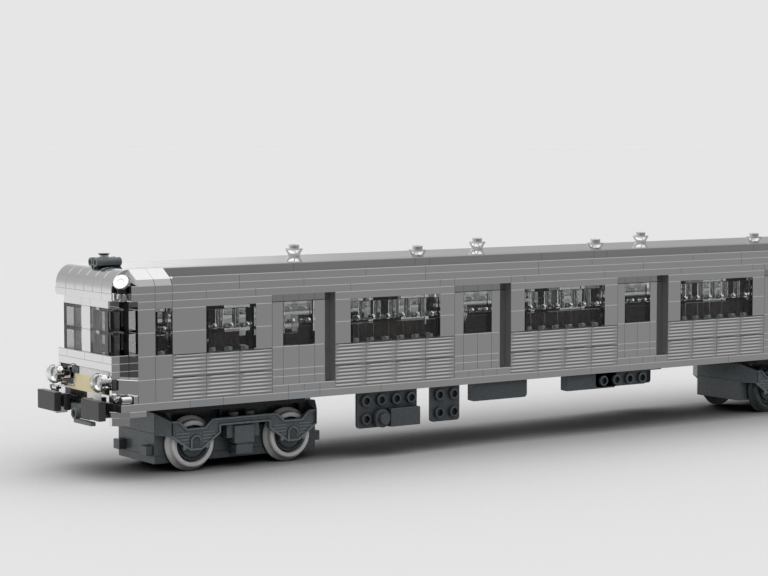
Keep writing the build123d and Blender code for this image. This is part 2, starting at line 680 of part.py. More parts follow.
# The far side carries the same boxes, turned half round
UNDERFLOOR = {
    "studded_boxes": [studded_box(*row) for row in STUDDED_BOXES],
    "smooth_boxes": [smooth_box(*row) for row in SMOOTH_BOXES],
    "tank_blocks": [tank()],
}
for name, shapes in UNDERFLOOR.items():
    keep(name + "_near", shapes)
    keep(name + "_far", [Rot(0, 0, 180) * s for s in shapes])
benches = [bench(u0, u1) for u0, u1 in BENCHES]
keep("bench_seats", benches + [far(s) for s in benches])
keep("bulkheads", both_ends([bulkhead()]))

# Nodes of the two bogies
for name, u, outward in (("front", BOGIE_U[0], -1), ("rear", BOGIE_U[1], 1)):
    place = Pos(at_x(u), 0, 0)
    keep("bogie_block_" + name, [place * bogie_block()])
    keep("bogie_deck_" + name, [place * bogie_deck()])
    keep("side_frames_" + name, [place * side_frame(), place * far(side_frame())])
    keep("wheelset_" + name + "_outer", [place * Pos(outward * AXLE_X, 0, 0) * wheelset()])
    keep("wheelset_" + name + "_inner", [place * Pos(-outward * AXLE_X, 0, 0) * wheelset()])

os.makedirs("parts", exist_ok=True)
for name, shape in NODES.items():
    export_step(shape, "parts/" + name + ".step")
print(len(NODES), "nodes")
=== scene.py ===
import bpy
import bmesh
import json
import math
from itertools import product
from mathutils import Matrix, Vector


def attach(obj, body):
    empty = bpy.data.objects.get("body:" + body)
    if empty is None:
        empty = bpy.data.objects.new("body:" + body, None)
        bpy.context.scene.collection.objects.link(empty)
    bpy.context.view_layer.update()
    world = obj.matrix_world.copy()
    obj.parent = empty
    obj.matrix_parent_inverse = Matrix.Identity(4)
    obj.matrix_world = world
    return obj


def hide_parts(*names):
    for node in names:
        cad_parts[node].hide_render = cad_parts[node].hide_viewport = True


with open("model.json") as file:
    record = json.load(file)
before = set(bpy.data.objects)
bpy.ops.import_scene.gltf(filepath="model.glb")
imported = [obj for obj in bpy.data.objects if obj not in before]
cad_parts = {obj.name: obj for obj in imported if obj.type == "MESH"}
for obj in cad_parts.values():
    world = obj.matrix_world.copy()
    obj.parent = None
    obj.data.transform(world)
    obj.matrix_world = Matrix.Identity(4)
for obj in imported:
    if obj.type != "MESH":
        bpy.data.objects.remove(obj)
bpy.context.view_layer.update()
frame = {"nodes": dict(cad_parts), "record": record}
nodes = frame["nodes"]

# Photograph's camera, in metres and degrees
CAMERA_AT = (-0.64445, -0.81009, 0.14313)
CAMERA_AZIMUTH = -34.856
CAMERA_DOWN = 4.157
FOCAL_PX = 2177.76
IMAGE_W = 768
SENSOR_MM = 36

# Brick grid, in millimetres
PITCH = 8.0
PLATE = 3.2
LONG = 56
WIDE = 8
SILL = 32.0
STUD_R = 2.4
STUD_H = 1.7
EDGE = 0.08  # how far a rim is cut back
RIM = 0.3  # how far down a brick's top rim is cut
GAP = 0.06  # room at each side of a brick

# Sockets of a Mix node that mixes colours
MIX_A = 6
MIX_B = 7
MIX_OUT = 2

# Scale of the materials' broad and fine variation, and the sizes in metres of their waviness and of their
# painted shade from ambient occlusion
BROAD = 22.0
FINE = 420.0
WAVE = 0.0002
SHADE_REACH = 0.012


def gx(u):
    return (u - LONG / 2) * PITCH


def gy(y):
    return (y - WIDE / 2) * PITCH


def gz(z):
    return z * PLATE + SILL


# Materials
def new_material(name, color, rough, metal=0.0):
    mat = bpy.data.materials.new(name)
    mat.use_nodes = True
    bsdf = mat.node_tree.nodes["Principled BSDF"]
    bsdf.inputs["Base Color"].default_value = (*color, 1)
    bsdf.inputs["Roughness"].default_value = rough
    bsdf.inputs["Metallic"].default_value = metal
    return mat, bsdf


def noise(tree, scale, detail=2.0, rough=0.5):
    coord = tree.nodes.new("ShaderNodeTexCoord")
    tex = tree.nodes.new("ShaderNodeTexNoise")
    tex.inputs["Scale"].default_value = scale
    tex.inputs["Detail"].default_value = detail
    tex.inputs["Roughness"].default_value = rough
    tree.links.new(coord.outputs["Object"], tex.inputs["Vector"])
    return tex.outputs["Fac"]


def to_range(tree, value, low, high):
    n = tree.nodes.new("ShaderNodeMapRange")
    n.inputs["From Min"].default_value = 0.3
    n.inputs["From Max"].default_value = 0.7
    n.inputs["To Min"].default_value = low
    n.inputs["To Max"].default_value = high
    tree.links.new(value, n.inputs["Value"])
    return n.outputs["Result"]


def mix_colors(tree, fac, a, b):
    """Mixes a and b, each a grey level, a colour or another node's output."""
    n = tree.nodes.new("ShaderNodeMix")
    n.data_type = "RGBA"
    tree.links.new(fac, n.inputs["Factor"])
    for i, v in ((MIX_A, a), (MIX_B, b)):
        if isinstance(v, float):
            v = (v, v, v)
        if isinstance(v, tuple):
            n.inputs[i].default_value = (*v, 1)
        else:
            tree.links.new(v, n.inputs[i])
    return n.outputs[MIX_OUT]


def painted_shade_factor(tree, distance, power):
    """How little stands round each point, from ambient occlusion raised to a power: the factor that paints
    shade into a colour.
    """
    hidden = tree.nodes.new("ShaderNodeAmbientOcclusion")
    hidden.samples = 8
    hidden.inputs["Distance"].default_value = distance
    n = tree.nodes.new("ShaderNodeMath")
    n.operation = "POWER"
    n.inputs[1].default_value = power
    tree.links.new(hidden.outputs["AO"], n.inputs[0])
    return n.outputs[0]


def moulded(name, a, b, rough_low, rough_high, metal=0.0, bump=0.0, shade=0.0):
    """Moulded plastic or its bright coating: colour and gloss vary a little, with waviness, and with painted
    shade in hollows from ambient occlusion where shade is set.
    """
    mat, bsdf = new_material(name, a, rough_low, metal)
    tree = mat.node_tree
    broad = noise(tree, BROAD, 3.0)
    fine = noise(tree, FINE, 4.0, 0.6)
    color = mix_colors(tree, to_range(tree, broad, 0.0, 1.0), a, b)
    # Painted shade: the colour darkened towards black where ambient occlusion finds things near
    if shade:
        color = mix_colors(tree, painted_shade_factor(tree, SHADE_REACH, shade), 0.0, color)
    tree.links.new(color, bsdf.inputs["Base Color"])
    tree.links.new(to_range(tree, fine, rough_low, rough_high), bsdf.inputs["Roughness"])
    if bump:
        n = tree.nodes.new("ShaderNodeBump")
        n.inputs["Strength"].default_value = bump
        n.inputs["Distance"].default_value = WAVE
        tree.links.new(fine, n.inputs["Height"])
        tree.links.new(n.outputs["Normal"], bsdf.inputs["Normal"])
    return mat


CHROME = moulded("chrome", (0.93, 0.93, 0.93), (0.90, 0.90, 0.90), 0.02, 0.05, 1.0)
PALE_CHROME = moulded("pale_metal", (0.88, 0.92, 0.95), (0.86, 0.90, 0.93), 0.05, 0.09, 1.0)
# DARK, BOGIE, BOGIE_RIM_HIGHLIGHT and LIGHT have painted shade in their hollows from ambient occlusion, set by
# their last argument
DARK = moulded("dark_grey_plastic", (0.075, 0.088, 0.096), (0.083, 0.097, 0.105), 0.22, 0.34, 0.0, 0.05, 0.9)
# BOGIE is the same dark grey painted lighter: painted light on the bogies and the other parts that use it
BOGIE = moulded("bogie_plastic", (0.132, 0.155, 0.167), (0.145, 0.169, 0.182), 0.22, 0.34, 0.0, 0.05, 0.9)
# A still lighter copy of the dark grey: painted highlight on the frames' rims and louvres and on the horns'
# mouths
BOGIE_RIM_HIGHLIGHT = moulded("bogie_rim_painted_highlight", (0.20, 0.232, 0.246), (0.22, 0.252, 0.266),
                    0.22, 0.34, 0.0, 0.05, 0.9)
STONE = moulded("stone_grey_plastic", (0.13, 0.15, 0.15), (0.145, 0.165, 0.165), 0.22, 0.34, 0.0, 0.05)
BLACK = moulded("black_plastic", (0.016, 0.016, 0.017), (0.020, 0.020, 0.021), 0.2, 0.32, 0.0, 0.05)
BUFFER = moulded("buffer_plastic", (0.045, 0.045, 0.045), (0.05, 0.05, 0.05), 0.25, 0.35, 0.0, 0.05)
LIGHT = moulded("light_grey_plastic", (0.86, 0.86, 0.85), (0.90, 0.90, 0.89), 0.25, 0.38, 0.0, 0.05, 0.7)
TAN = moulded("tan_plastic", (0.84, 0.73, 0.45), (0.88, 0.77, 0.49), 0.25, 0.38, 0.0, 0.05)
BROWN = moulded("brown_plastic", (0.20, 0.10, 0.075), (0.23, 0.115, 0.085), 0.25, 0.38, 0.0, 0.05)
WALL_BROWN = moulded("bulkhead_plastic", (0.13, 0.105, 0.085), (0.145, 0.118, 0.095), 0.25, 0.38, 0.0, 0.05)
# Chrome painted darker: painted shade on the door headers and roof risers
CHROME_PAINTED_SHADE = moulded("chrome_painted_shade", (0.67, 0.67, 0.67), (0.65, 0.65, 0.65), 0.02, 0.05, 1.0)
# Flat dark grey in place of the door recesses' chrome side walls: painted shade
JAMB_PAINTED_SHADE = moulded("jamb_painted_shade", (0.125, 0.125, 0.127), (0.137, 0.137, 0.139), 0.35, 0.45, 0.0, 0.03)
PAINTED_GLINT = moulded("painted_glint", (0.9, 0.9, 0.9), (0.86, 0.86, 0.86), 0.2, 0.3)
# This material glows: painted highlights inside the windows, not a lamp
glow = PAINTED_GLINT.node_tree.nodes["Principled BSDF"].inputs
glow["Emission Color"].default_value = (1, 1, 1, 1)
glow["Emission Strength"].default_value = 1.2
WHITE = moulded("white_plastic", (0.86, 0.86, 0.86), (0.82, 0.82, 0.82), 0.2, 0.3, 0.0, 0.05)
CLEAR = moulded("clear_plastic", (0.75, 0.76, 0.755), (0.72, 0.73, 0.725), 0.0, 0.03)
LENS = moulded("lens_plastic", (0.96, 0.97, 0.97), (0.94, 0.95, 0.95), 0.0, 0.02)
for glass in (CLEAR, LENS):
    sockets = glass.node_tree.nodes["Principled BSDF"].inputs
    sockets["Transmission Weight"].default_value = 1.0
    sockets["IOR"].default_value = 1.49
BY_SLOT = {"silver": CHROME, "clear": CLEAR, "tan": TAN, "black_plastic": BLACK, "brown_plastic": BROWN,
           "dark_grey": DARK, "light_grey": LIGHT}
BY_NODE = {"bogie_deck_front": BLACK, "bogie_deck_rear": BLACK, "bulkheads": WALL_BROWN}
for sub in frame["record"]["subparts"]:
    obj = nodes[sub["node"]]
    obj.data.materials.clear()
    obj.data.materials.append(BY_NODE.get(sub["node"], BY_SLOT[sub["material_slot"]]))


class Batch:
    """Bevelled bricks, prisms and turned shapes in millimetres, collected into one mesh."""

    def __init__(self):
        self.verts = []
        self.faces = []

    def add(self, verts, faces):
        base = len(self.verts)
        self.verts += [tuple(v) for v in verts]
        self.faces += [tuple(base + i for i in f) for f in faces]

    def brick(self, x0, x1, y0, y1, z0, z1, edge=EDGE):
        """A box with its top rim cut and a hair of room at its sides, so that seams show between two."""
        x0, x1, y0, y1 = x0 + GAP, x1 - GAP, y0 + GAP, y1 - GAP
        e = min(edge, 0.3 * (x1 - x0), 0.3 * (y1 - y0), 0.3 * (z1 - z0))
        verts = []
        for inset, z in ((0, z0), (0, z1 - min(RIM, 0.5 * (z1 - z0))), (e, z1)):
            for x, y in ((x0 + inset, y0 + inset), (x1 - inset, y0 + inset), (x1 - inset, y1 - inset),
                         (x0 + inset, y1 - inset)):
                verts.append((x, y, z))
        faces = [[3, 2, 1, 0], [8, 9, 10, 11]]
        for k in (0, 4):
            for i in range(4):
                j = (i + 1) % 4
                faces.append([k + i, k + j, k + 4 + j, k + 4 + i])
        self.add(verts, faces)

    def block(self, x0, x1, y0, y1, z0, z1, edge=0.15):
        """A box with all its edges cut."""
        lim = ((x0, x1), (y0, y1), (z0, z1))
        edge = min(edge, *(0.3 * (b - a) for a, b in lim))
        verts = []
        for corner in product((0, 1), repeat=3):
            for k in range(3):
                v = []
                for axis in range(3):
                    inset = 0.0 if axis == k else edge
                    v.append(lim[axis][0] + inset if corner[axis] == 0 else lim[axis][1] - inset)
                verts.append(v)

        def at(c, k):
            return 3 * (4 * c[0] + 2 * c[1] + c[2]) + k

        faces = []
        for k in range(3):
            others = [a for a in range(3) if a != k]
            for side in (0, 1):
                loop = []
                for p, q in ((0, 0), (1, 0), (1, 1), (0, 1)):
                    c = [0, 0, 0]
                    c[k] = side
                    c[others[0]] = p
                    c[others[1]] = q
                    loop.append(at(c, k))
                faces.append(loop)
            for p, q in product((0, 1), repeat=2):
                lo = [0, 0, 0]
                lo[others[0]] = p
                lo[others[1]] = q
                hi = list(lo)
                hi[k] = 1
                faces.append([at(lo, others[0]), at(hi, others[0]), at(hi, others[1]), at(lo, others[1])])
        for c in product((0, 1), repeat=3):
            faces.append([at(c, 0), at(c, 1), at(c, 2)])
        self.add(verts, faces)

    def grid_block(self, u0, u1, y0, y1, z0, z1, edge=0.15):
        self.block(gx(u0), gx(u1), gy(y0), gy(y1), gz(z0), gz(z1), edge)

    def grid_brick(self, u0, u1, y0, y1, z0, z1):
        self.brick(gx(u0), gx(u1), gy(y0), gy(y1), gz(z0), gz(z1))

    def row(self, seams, y0, y1, z0, z1):
        """Bricks side by side along the car, one between each two seams."""
        for a, b in zip(seams, seams[1:]):
            self.grid_brick(a, b, y0, y1, z0, z1)

    def across(self, seams, u0, u1, z0, z1):
        """Bricks side by side across the car."""
        for a, b in zip(seams, seams[1:]):
            self.grid_brick(u0, u1, a, b, z0, z1)

    def turned(self, profile, base, axis="z", n=28, sign=1):
        """A shape turned round an axis through base. The profile lists (radius, distance along the axis)."""
        verts = []
        rings = []
        for r, h in profile:
            if r <= 1e-6:
                rings.append([len(verts)])
                verts.append((0, 0, h * sign))
                continue
            rings.append(list(range(len(verts), len(verts) + n)))
            for i in range(n):
                a = 2 * math.pi * i / n
                verts.append((r * math.cos(a), r * math.sin(a), h * sign))
        faces = []
        for a, b in zip(rings, rings[1:]):
            for i in range(n):
                j = (i + 1) % n
                loop = [a[i % len(a)], a[j % len(a)], b[j % len(b)], b[i % len(b)]]
                loop = [v for k, v in enumerate(loop) if v not in loop[:k]]
                if len(loop) > 2:
                    faces.append(loop)
        if len(rings[0]) > 1:
            faces.append(rings[0][::-1])
        if len(rings[-1]) > 1:
            faces.append(rings[-1])
        turn = {"x": lambda v: (v[2], v[0], v[1]), "y": lambda v: (v[1], v[2], v[0]), "z": lambda v: v}[axis]
        self.add([tuple(c + d for c, d in zip(base, turn(v))) for v in verts], faces)

    def rod(self, base, axis, r, length, edge=EDGE, n=28, bore=0.0, depth=0.0):
        """A cylinder along an axis, its rims cut, and a hole in its far end where bore is set."""
        sign = 1 if length > 0 else -1
        length = abs(length)
        e = min(edge, 0.3 * length, 0.3 * r)
        profile = [(0, 0), (r - e, 0), (r, e), (r, length - e), (r - e, length)]
        if bore:
            profile += [(bore, length), (bore, length - depth), (0, length - depth)]
        else:
            profile += [(0, length)]
        self.turned(profile, base, axis, n, sign)

    def stud(self, x, y, z, axis="z", sign=1, bore=0.0):
        self.rod((x, y, z), axis, STUD_R, sign * STUD_H, 0.12, 24, bore, STUD_H - 0.1 if bore else 0)

    def prism(self, points, axis, a0, a1, edge=EDGE):
        """A convex outline pulled along an axis, with its long rims cut. The outline runs round once."""
        n = len(points)
        area = sum(p[0] * q[1] - q[0] * p[1] for p, q in zip(points, points[1:] + points[:1]))
        if area < 0:
            points = points[::-1]
        inset = []
        for i in range(n):
            p, q, r = (Vector(points[(i + k) % n]) for k in (-1, 0, 1))
            d0, d1 = (q - p).normalized(), (r - q).normalized()
            n0, n1 = Vector((-d0.y, d0.x)), Vector((-d1.y, d1.x))
            m = n0 + n1
            inset.append(tuple(q + m * (edge / max(0.3, 1 + n0.dot(n1)))))
        lo, hi = min(a0, a1), max(a0, a1)
        rings = [(inset, lo), (points, lo + edge), (points, hi - edge), (inset, hi)]
        turn = {"x": lambda p, a: (a, p[0], p[1]), "y": lambda p, a: (p[0], a, p[1]),
                "z": lambda p, a: (p[0], p[1], a)}[axis]
        verts = [turn(p, a) for ring, a in rings for p in ring]
        faces = [list(range(n)), list(range(3 * n, 4 * n))]
        for k in range(3):
            for i in range(n):
                j = (i + 1) % n
                faces.append([k * n + i, k * n + j, (k + 1) * n + j, (k + 1) * n + i])
        self.add(verts, faces)

    def copies(self, *turns):
        """Adds the same shapes again, each time with their coordinates changed by a function."""
        verts, faces = list(self.verts), list(self.faces)
        for turn in turns:
            self.add([turn(*v) for v in verts], faces)
        return self


def far(x, y, z):
    return (x, -y, z)


def rear(x, y, z):
    return (-x, y, z)


def opposite(x, y, z):
    return (-x, -y, z)


def emit(name, batch, mat, body, replaces=(), sharp=13.5):
    mesh = bpy.data.meshes.new(name)
    mesh.from_pydata([tuple(c * 0.001 for c in v) for v in batch.verts], [], batch.faces)
    bm = bmesh.new()
    bm.from_mesh(mesh)
    bmesh.ops.recalc_face_normals(bm, faces=bm.faces)
    bm.to_mesh(mesh)
    bm.free()
    mesh.polygons.foreach_set("use_smooth", [True] * len(mesh.polygons))
    mesh.set_sharp_from_angle(angle=math.radians(sharp))
    mesh.materials.append(mat)
    obj = bpy.data.objects.new(name, mesh)
    bpy.context.scene.collection.objects.link(obj)
    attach(obj, body)
    if replaces:
        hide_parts(*replaces)
    return obj


def pair(stem):
    return [stem + "_near", stem + "_far"]


# Side walls: places along the car in studs, and the seams of each course
DOORS = [8, 20, 32, 44]
PANELS = [(2, 8), (12, 20), (24, 32), (36, 44), (48, 54)]
PIERS = [(2, 4), (7, 8), (12, 13), (19, 20), (24, 25), (31, 32), (36, 37), (43, 44), (48, 49), (52, 54)]
WINDOWS = [(4, 7), (13, 19), (25, 31), (37, 43), (49, 52)]
CAB_WINDOWS = [(1, 2), (54, 55)]
LINTELS = [(0, 1, 2, 8), (12, 20), (24, 32), (36, 44), (48, 54, 55, 56)]
COURSE_13 = (-0.36, 1, 2, 4, 7, 13, 19, 20, 24, 25, 31, 37, 43, 44, 49, 52, 54, 55, 56.36)
COURSE_14 = (-0.36, 1, 2, 6, 10, 18, 26, 34, 42, 46, 50, 54, 55, 56.36)
COURSE_15 = (2, 6, 14, 18, 26, 30, 38, 42, 50, 54)
SILL_SEAMS = (-1, 3, 5, 9, 11, 15, 26, 30, 41, 45, 47, 51, 53, 57)
PALE_SILL = [(3, 5), (9, 11)]
RISER = (0.2, 1, 2, 10, 18, 19, 27, 31, 32, 40, 44, 54, 55, 55.8)
TILES = (0.2, 4, 12, 20, 28, 36, 44, 52, 55.8)
RIBS = 6
RIB_H = 0.26


def smooth(a, b, x):
    t = min(1.0, max(0.0, (x - a) / (b - a)))
    return t * t * (3 - 2 * t)


def ribbed_brick(batch, u0, u1, z0, z1):
    """A brick whose outer face has rounded ribs, deep at one end and fading at the other."""
    x0, x1 = gx(u0) + GAP, gx(u1) - GAP
    bottom, top = gz(z0) + GAP, gz(z1) - 0.22
    face = gy(0)
    cols = 14
    per = 8  # rows of points in each rib
    rows = RIBS * per
    verts = []
    for i in range(cols + 1):
        s = i / cols
        for j in range(rows + 1):
            t = j / rows
            phase = (j % per) / per
            amp = smooth(-0.05, 0.02 + 0.28 * t, s) * (1 - 0.6 * smooth(0.66, 0.9, s))
            dip = RIB_H * amp * (0.5 + 0.5 * math.cos(2 * math.pi * phase))
            verts.append((x0 + s * (x1 - x0), face + GAP + dip, bottom + t * (top - bottom)))
    faces = []
    for i in range(cols):
        for j in range(rows):
            a = i * (rows + 1) + j
            faces.append([a, a + 1, a + rows + 2, a + rows + 1])
    batch.add(verts, faces)
    batch.brick(x0 - GAP, x1 + GAP, face + RIB_H + 0.05, gy(1), bottom - GAP, top + GAP)


LINE_EDGE = 0.02
# Thin dark strips at the top of each course of rib panels and under the door headers: painted shadow lines
lines = Batch()
for u0, u1 in PANELS:
    for z, below in ((3, 0.22), (6, 0.4)):
        lines.block(gx(u0) + 0.1, gx(u1) - 0.1, gy(0) + 0.04, gy(0.5), gz(z) - below, gz(z) + 0.03, LINE_EDGE)
for u in DOORS:
    lines.block(gx(u) + 0.1, gx(u + 4) - 0.1, gy(0.5) - 0.03, gy(0.6), gz(12) - 0.3, gz(12) + 0.04, LINE_EDGE)
lines.copies(far)
emit("painted_shadow_lines", lines, DARK, "car")

wall = Batch()
for z in (0, 3):
    wall.row((0, 1, 2), 0, 1, z, z + 3)
    wall.row((54, 55, 56), 0, 1, z, z + 3)
for u in (0, 55):
    for z in (6, 9):
        wall.grid_brick(u, u + 1, 0, 1, z, z + 3)
for u0, u1 in PIERS:
    for z in (6, 9):
        wall.grid_brick(u0, u1, 0, 1, z, z + 3)
for seams in LINTELS:  # the lintels stand between the doors' own headers
    wall.row(seams, 0, 1, 12, 13)
wall.row(COURSE_13, 0, 1, 13, 14)
wall.row(COURSE_14, 0, 1, 14, 15)
wall.row(COURSE_15, 0, 1, 15, 16)
for u in DOORS:
    wall.row((u, u + 1, u + 2, u + 3, u + 4), 0, 1, 0, 1)
    for z0, z1 in ((1, 2), (2, 3), (3, 6)):
        wall.row((u, u + 1, u + 2, u + 3, u + 4), 0.5, 1, z0, z1)
    for a in (u, u + 3):
        wall.grid_brick(a, a + 1, 0.5, 1, 6, 12)
wall.copies(far)
emit("side_walls", wall, CHROME, "car",
     ["corner_posts"] + pair("window_piers") + pair("top_courses") + pair("door_leaves") + pair("door_steps"))

headers = Batch()
jambs = Batch()
for u in DOORS:
    headers.row((u, u + 1, u + 2, u + 3, u + 4), 0.5, 1, 12, 13)
    for a, b in ((gx(u) - 0.05, gx(u) + 0.2), (gx(u + 4) - 0.2, gx(u + 4) + 0.05)):
        jambs.block(a, b, gy(0) + 0.08, gy(0.5), gz(1) + 0.05, gz(13) - 0.02, LINE_EDGE)
headers.copies(far)
jambs.copies(far)
# Door headers in the darker chrome: painted shade under the lintels
emit("door_headers", headers, CHROME_PAINTED_SHADE, "car")
# Door jambs: thin dark strips as painted shade on the recesses' side walls
emit("door_jambs", jambs, JAMB_PAINTED_SHADE, "car")

ribs = Batch()
for u0, u1 in PANELS:
    for u in range(u0, u1, 2):
        for z in (0, 3):
            ribbed_brick(ribs, u, u + 2, z, z + 3)
ribs.copies(far)
emit("ribbed_panels", ribs, CHROME, "car", pair("ribbed_bricks"), 60)

sill = Batch()
pale = Batch()
for a, b in zip(SILL_SEAMS, SILL_SEAMS[1:]):
    for y0, y1 in ((0, 4), (4, 8)):
        (pale if (a, b) in PALE_SILL and y0 == 0 else sill).grid_brick(a, b, y0, y1, -1, 0)
emit("sill_plates", sill, CHROME, "car", ["sill_plate"])
emit("pale_sill_plates", pale, PALE_CHROME, "car")

# Roof
ROW_7 = (0.2, 2, 10, 18, 26, 34, 42, 50, 54, 55.8)
roof = Batch()
roof.row(TILES, 2, 4, 16, 17)
roof.row(TILES, 4, 6, 16, 17)
roof.row(ROW_7, 6, 7, 16, 17)
emit("roof_tiles", roof, CHROME, "car", ["roof_deck"])

risers = Batch()
risers.row(RISER, 1, 2, 16, 17)
# Roof risers in the darker chrome: painted shade
emit("roof_risers", risers, CHROME_PAINTED_SHADE, "car")

CURVE_R = 8.0
CURVE_STEPS = 18
CURVE_SEAMS = (0.93, 2.02, 3, 4, 5, 6.05, 7.22)
curve = Batch()
front_x = gx(-1)
outline = [(front_x, gz(14)), (gx(0.2), gz(14)), (gx(0.2), gz(17))]
for i in range(CURVE_STEPS + 1):
    a = math.pi / 2 * i / CURVE_STEPS
    outline.append((front_x + CURVE_R - CURVE_R * math.sin(a), gz(17) - CURVE_R + CURVE_R * math.cos(a)))
for y0, y1 in zip(CURVE_SEAMS, CURVE_SEAMS[1:]):
    curve.prism(outline, "y", gy(y0) + GAP, gy(y1) - GAP, 0.1)
curve.copies(rear)
emit("cab_roof_bricks", curve, CHROME, "car", ["cab_roof_curves"], 20)

SLOPE_LIP = 2.4
SLOPE_FLAT = 0.45
LIP_LEAN = 1.0
LEDGE = 0.2
KNEE = (0.69, 16.58)  # in studs and plates
slopes = Batch()
for u in (0, 1):
    pts = [(gy(0) + LEDGE, gz(15)), (gy(1), gz(15)), (gy(1), gz(17)), (gy(1) - SLOPE_FLAT, gz(17)),
           (gy(KNEE[0]), gz(KNEE[1])), (gy(0) + LEDGE + LIP_LEAN, gz(15) + SLOPE_LIP)]
    slopes.prism(pts, "x", gx(u) + GAP, gx(u + 1) - GAP, 0.1)
slopes.copies(far, rear, opposite)
emit("corner_slope_bricks", slopes, CHROME, "car", ["corner_slopes"], 15)

# A thin pale end on each slope, a painted reflection: in chrome it would only mirror the dark behind the cap
slope_end_painted_reflection = Batch()
band = [(0.96, 16.96), (KNEE[0], KNEE[1] - 0.02), (0.15, 15.77), (0.06, 15.0), (0.75, 15.4), (0.96, 16.1)]
slope_end_painted_reflection.prism([(gy(y), gz(z)) for y, z in band], "x", gx(0) - 0.12, gx(0) + 0.05, 0.02)
slope_end_painted_reflection.copies(far, rear, opposite)
emit("corner_slope_painted_ends", slope_end_painted_reflection, WHITE, "car")

VENT = [(0, 0), (2.9, 0), (2.95, 0.9), (3.0, 1.1), (3.7, 2.2), (3.95, 2.5), (4.0, 2.6), (4.0, 3.1),
        (3.9, 3.2), (2.4, 3.2), (2.4, 4.75), (2.3, 4.9), (1.6, 4.9), (1.6, 3.4), (0, 3.4)]
vents = Batch()
for u, y in ((13.5, 6.5), (26.5, 6.5), (39.5, 6.5), (18.5, 1.5), (31.5, 1.5), (44.5, 1.5)):
    vents.turned(VENT, (gx(u), gy(y), gz(17)), "z", 32)
emit("vents", vents, CHROME, "car", ["roof_vents"], 28)

# Cab front
front = Batch()
front.across((0.93, 2.06, 6.09, 7.22), -1, 1, 13, 14)
front.across((1.5, 3.5, 4.5, 6.5), -0.9, 0, 12, 13)
for z in (6, 9):
    front.grid_brick(-0.9, 0, 3.5, 4.5, z, z + 3)
front.across((1, 2, 4, 6, 7), -1, 0, 5, 6)
front.across((1, 7), -1, 0, 4, 5)
front.across((1, 1.25), -1, 0, 1, 4)
front.across((6.75, 7), -1, 0, 1, 4)
front.across((1.25, 2.1), -0.62, 0, 1, 4)
front.across((5.6, 6.75), -0.62, 0, 1, 4)
front.across((1, 2.16), -1, 0, 0, 0.95)
front.across((5.6, 7), -1, 0, 0, 0.95)
front.copies(rear)
emit("cab_front_bricks", front, CHROME, "car", ["cab_headers", "cab_pillars", "cab_aprons"])

notch = Batch()
notch.grid_block(-1.0, -0.4, 4.68, 5.47, 3.0, 3.85)
notch.grid_block(-0.8, -0.3, 2.1, 5.6, 0.0, 4)
notch.copies(rear)
emit("cab_dark_bricks", notch, DARK, "car")

gap_fill = Batch()
gap_fill.grid_block(-0.98, -0.5, 3.77, 5.6, -0.1, 0.75)
gap_fill.grid_block(-1.0, -0.5, 4.6, 5.67, -0.97, -0.3)
gap_fill.grid_block(-1.0, -0.7, 0.93, 1.0, 1.6, 3)
gap_fill.copies(rear)
emit("cab_black_bricks", gap_fill, BLACK, "car")

pale_front = Batch()
pale_front.grid_brick(-0.96, -0.3, 1.4, 4.68, 3, 4)
pale_front.grid_brick(-1.0, -0.3, 2.16, 3.75, -0.02, 0.82)
pale_front.copies(rear)
emit("cab_pale_plates", pale_front, WHITE, "car")

tan = Batch()
tan.grid_brick(-0.99, -0.5, 2.15, 6.1, 0.8, 1.1)
for z0, z1 in ((1.1, 2.05), (2.05, 3.0)):
    tan.grid_brick(-0.97, -0.5, 2.2, 5.05, z0, z1)
    tan.grid_brick(-0.85, -0.5, 5.05, 5.45, z0, z1)
tan.copies(rear)
emit("tan_bricks", tan, TAN, "car", ["nose_blocks"])

PANEL_REACH = 0.7
panel = Batch()
corner = [(gx(0) + GAP, gy(0) + GAP), (gx(-PANEL_REACH), gy(1)), (gx(0) + GAP, gy(1))]
panel.prism(corner, "z", gz(1), gz(3), 0.22)
panel.copies(far, rear, opposite)
emit("corner_panel_bricks", panel, CHROME, "car", ["corner_panels"])

# A cap on an upright bar at one corner of each cab, a bare bar at the other, and their clips
CAP_AT = (gx(-1) + 3.0, gy(1) - 3.7, gz(15.35))
CAP_LOOK = Vector((-1.0, -0.95, 0.85)).normalized()
CAP = [(0, 1.3), (1.2, 1.3), (1.35, 1.4), (3.15, 1.4), (3.3, 1.25), (3.3, 0.2), (2.2, -0.9), (0, -0.9)]
cap = Batch()
cap.turned(CAP, (0, 0, 0), "z", 40)
turn_to = Vector((0, 0, 1)).rotation_difference(CAP_LOOK)
cap.verts = [tuple(turn_to @ Vector(v) + Vector(CAP_AT)) for v in cap.verts]
cap.rod((CAP_AT[0], CAP_AT[1], gz(13)), "z", 1.3, gz(14.2) - gz(13))
bare = Batch()
bare.rod((CAP_AT[0], -CAP_AT[1], gz(13)), "z", 1.55, gz(15) - gz(13))
cap.add(bare.verts, bare.faces)
cap.copies(opposite)
emit("corner_caps", cap, CHROME, "car", ["corner_discs"])

clip = Batch()
x, y = CAP_AT[:2]
clip.rod((x, y, gz(13.3)), "z", 2.2, gz(14) - gz(13.3), 0.3)
clip.block(x - 1.8, x + 1.2, y, gy(1), gz(13.3), gz(13.95))
clip.block(gx(-1) + 0.3, x - 2.4, gy(1) - 2.2, gy(1), gz(13.1), gz(14.1), 0.3)
clip.copies(far, rear, opposite)
emit("corner_clip_pieces", clip, CHROME, "car", ["corner_clips"])

# A black ring round each cap's bar, between cap and clip: painted shade in the gap
shade = Batch()
shade.rod((x, y, gz(14)), "z", 1.9, gz(14.9) - gz(14), 0.1)
shade.copies(opposite)
emit("corner_cap_painted_shade", shade, BLACK, "car")

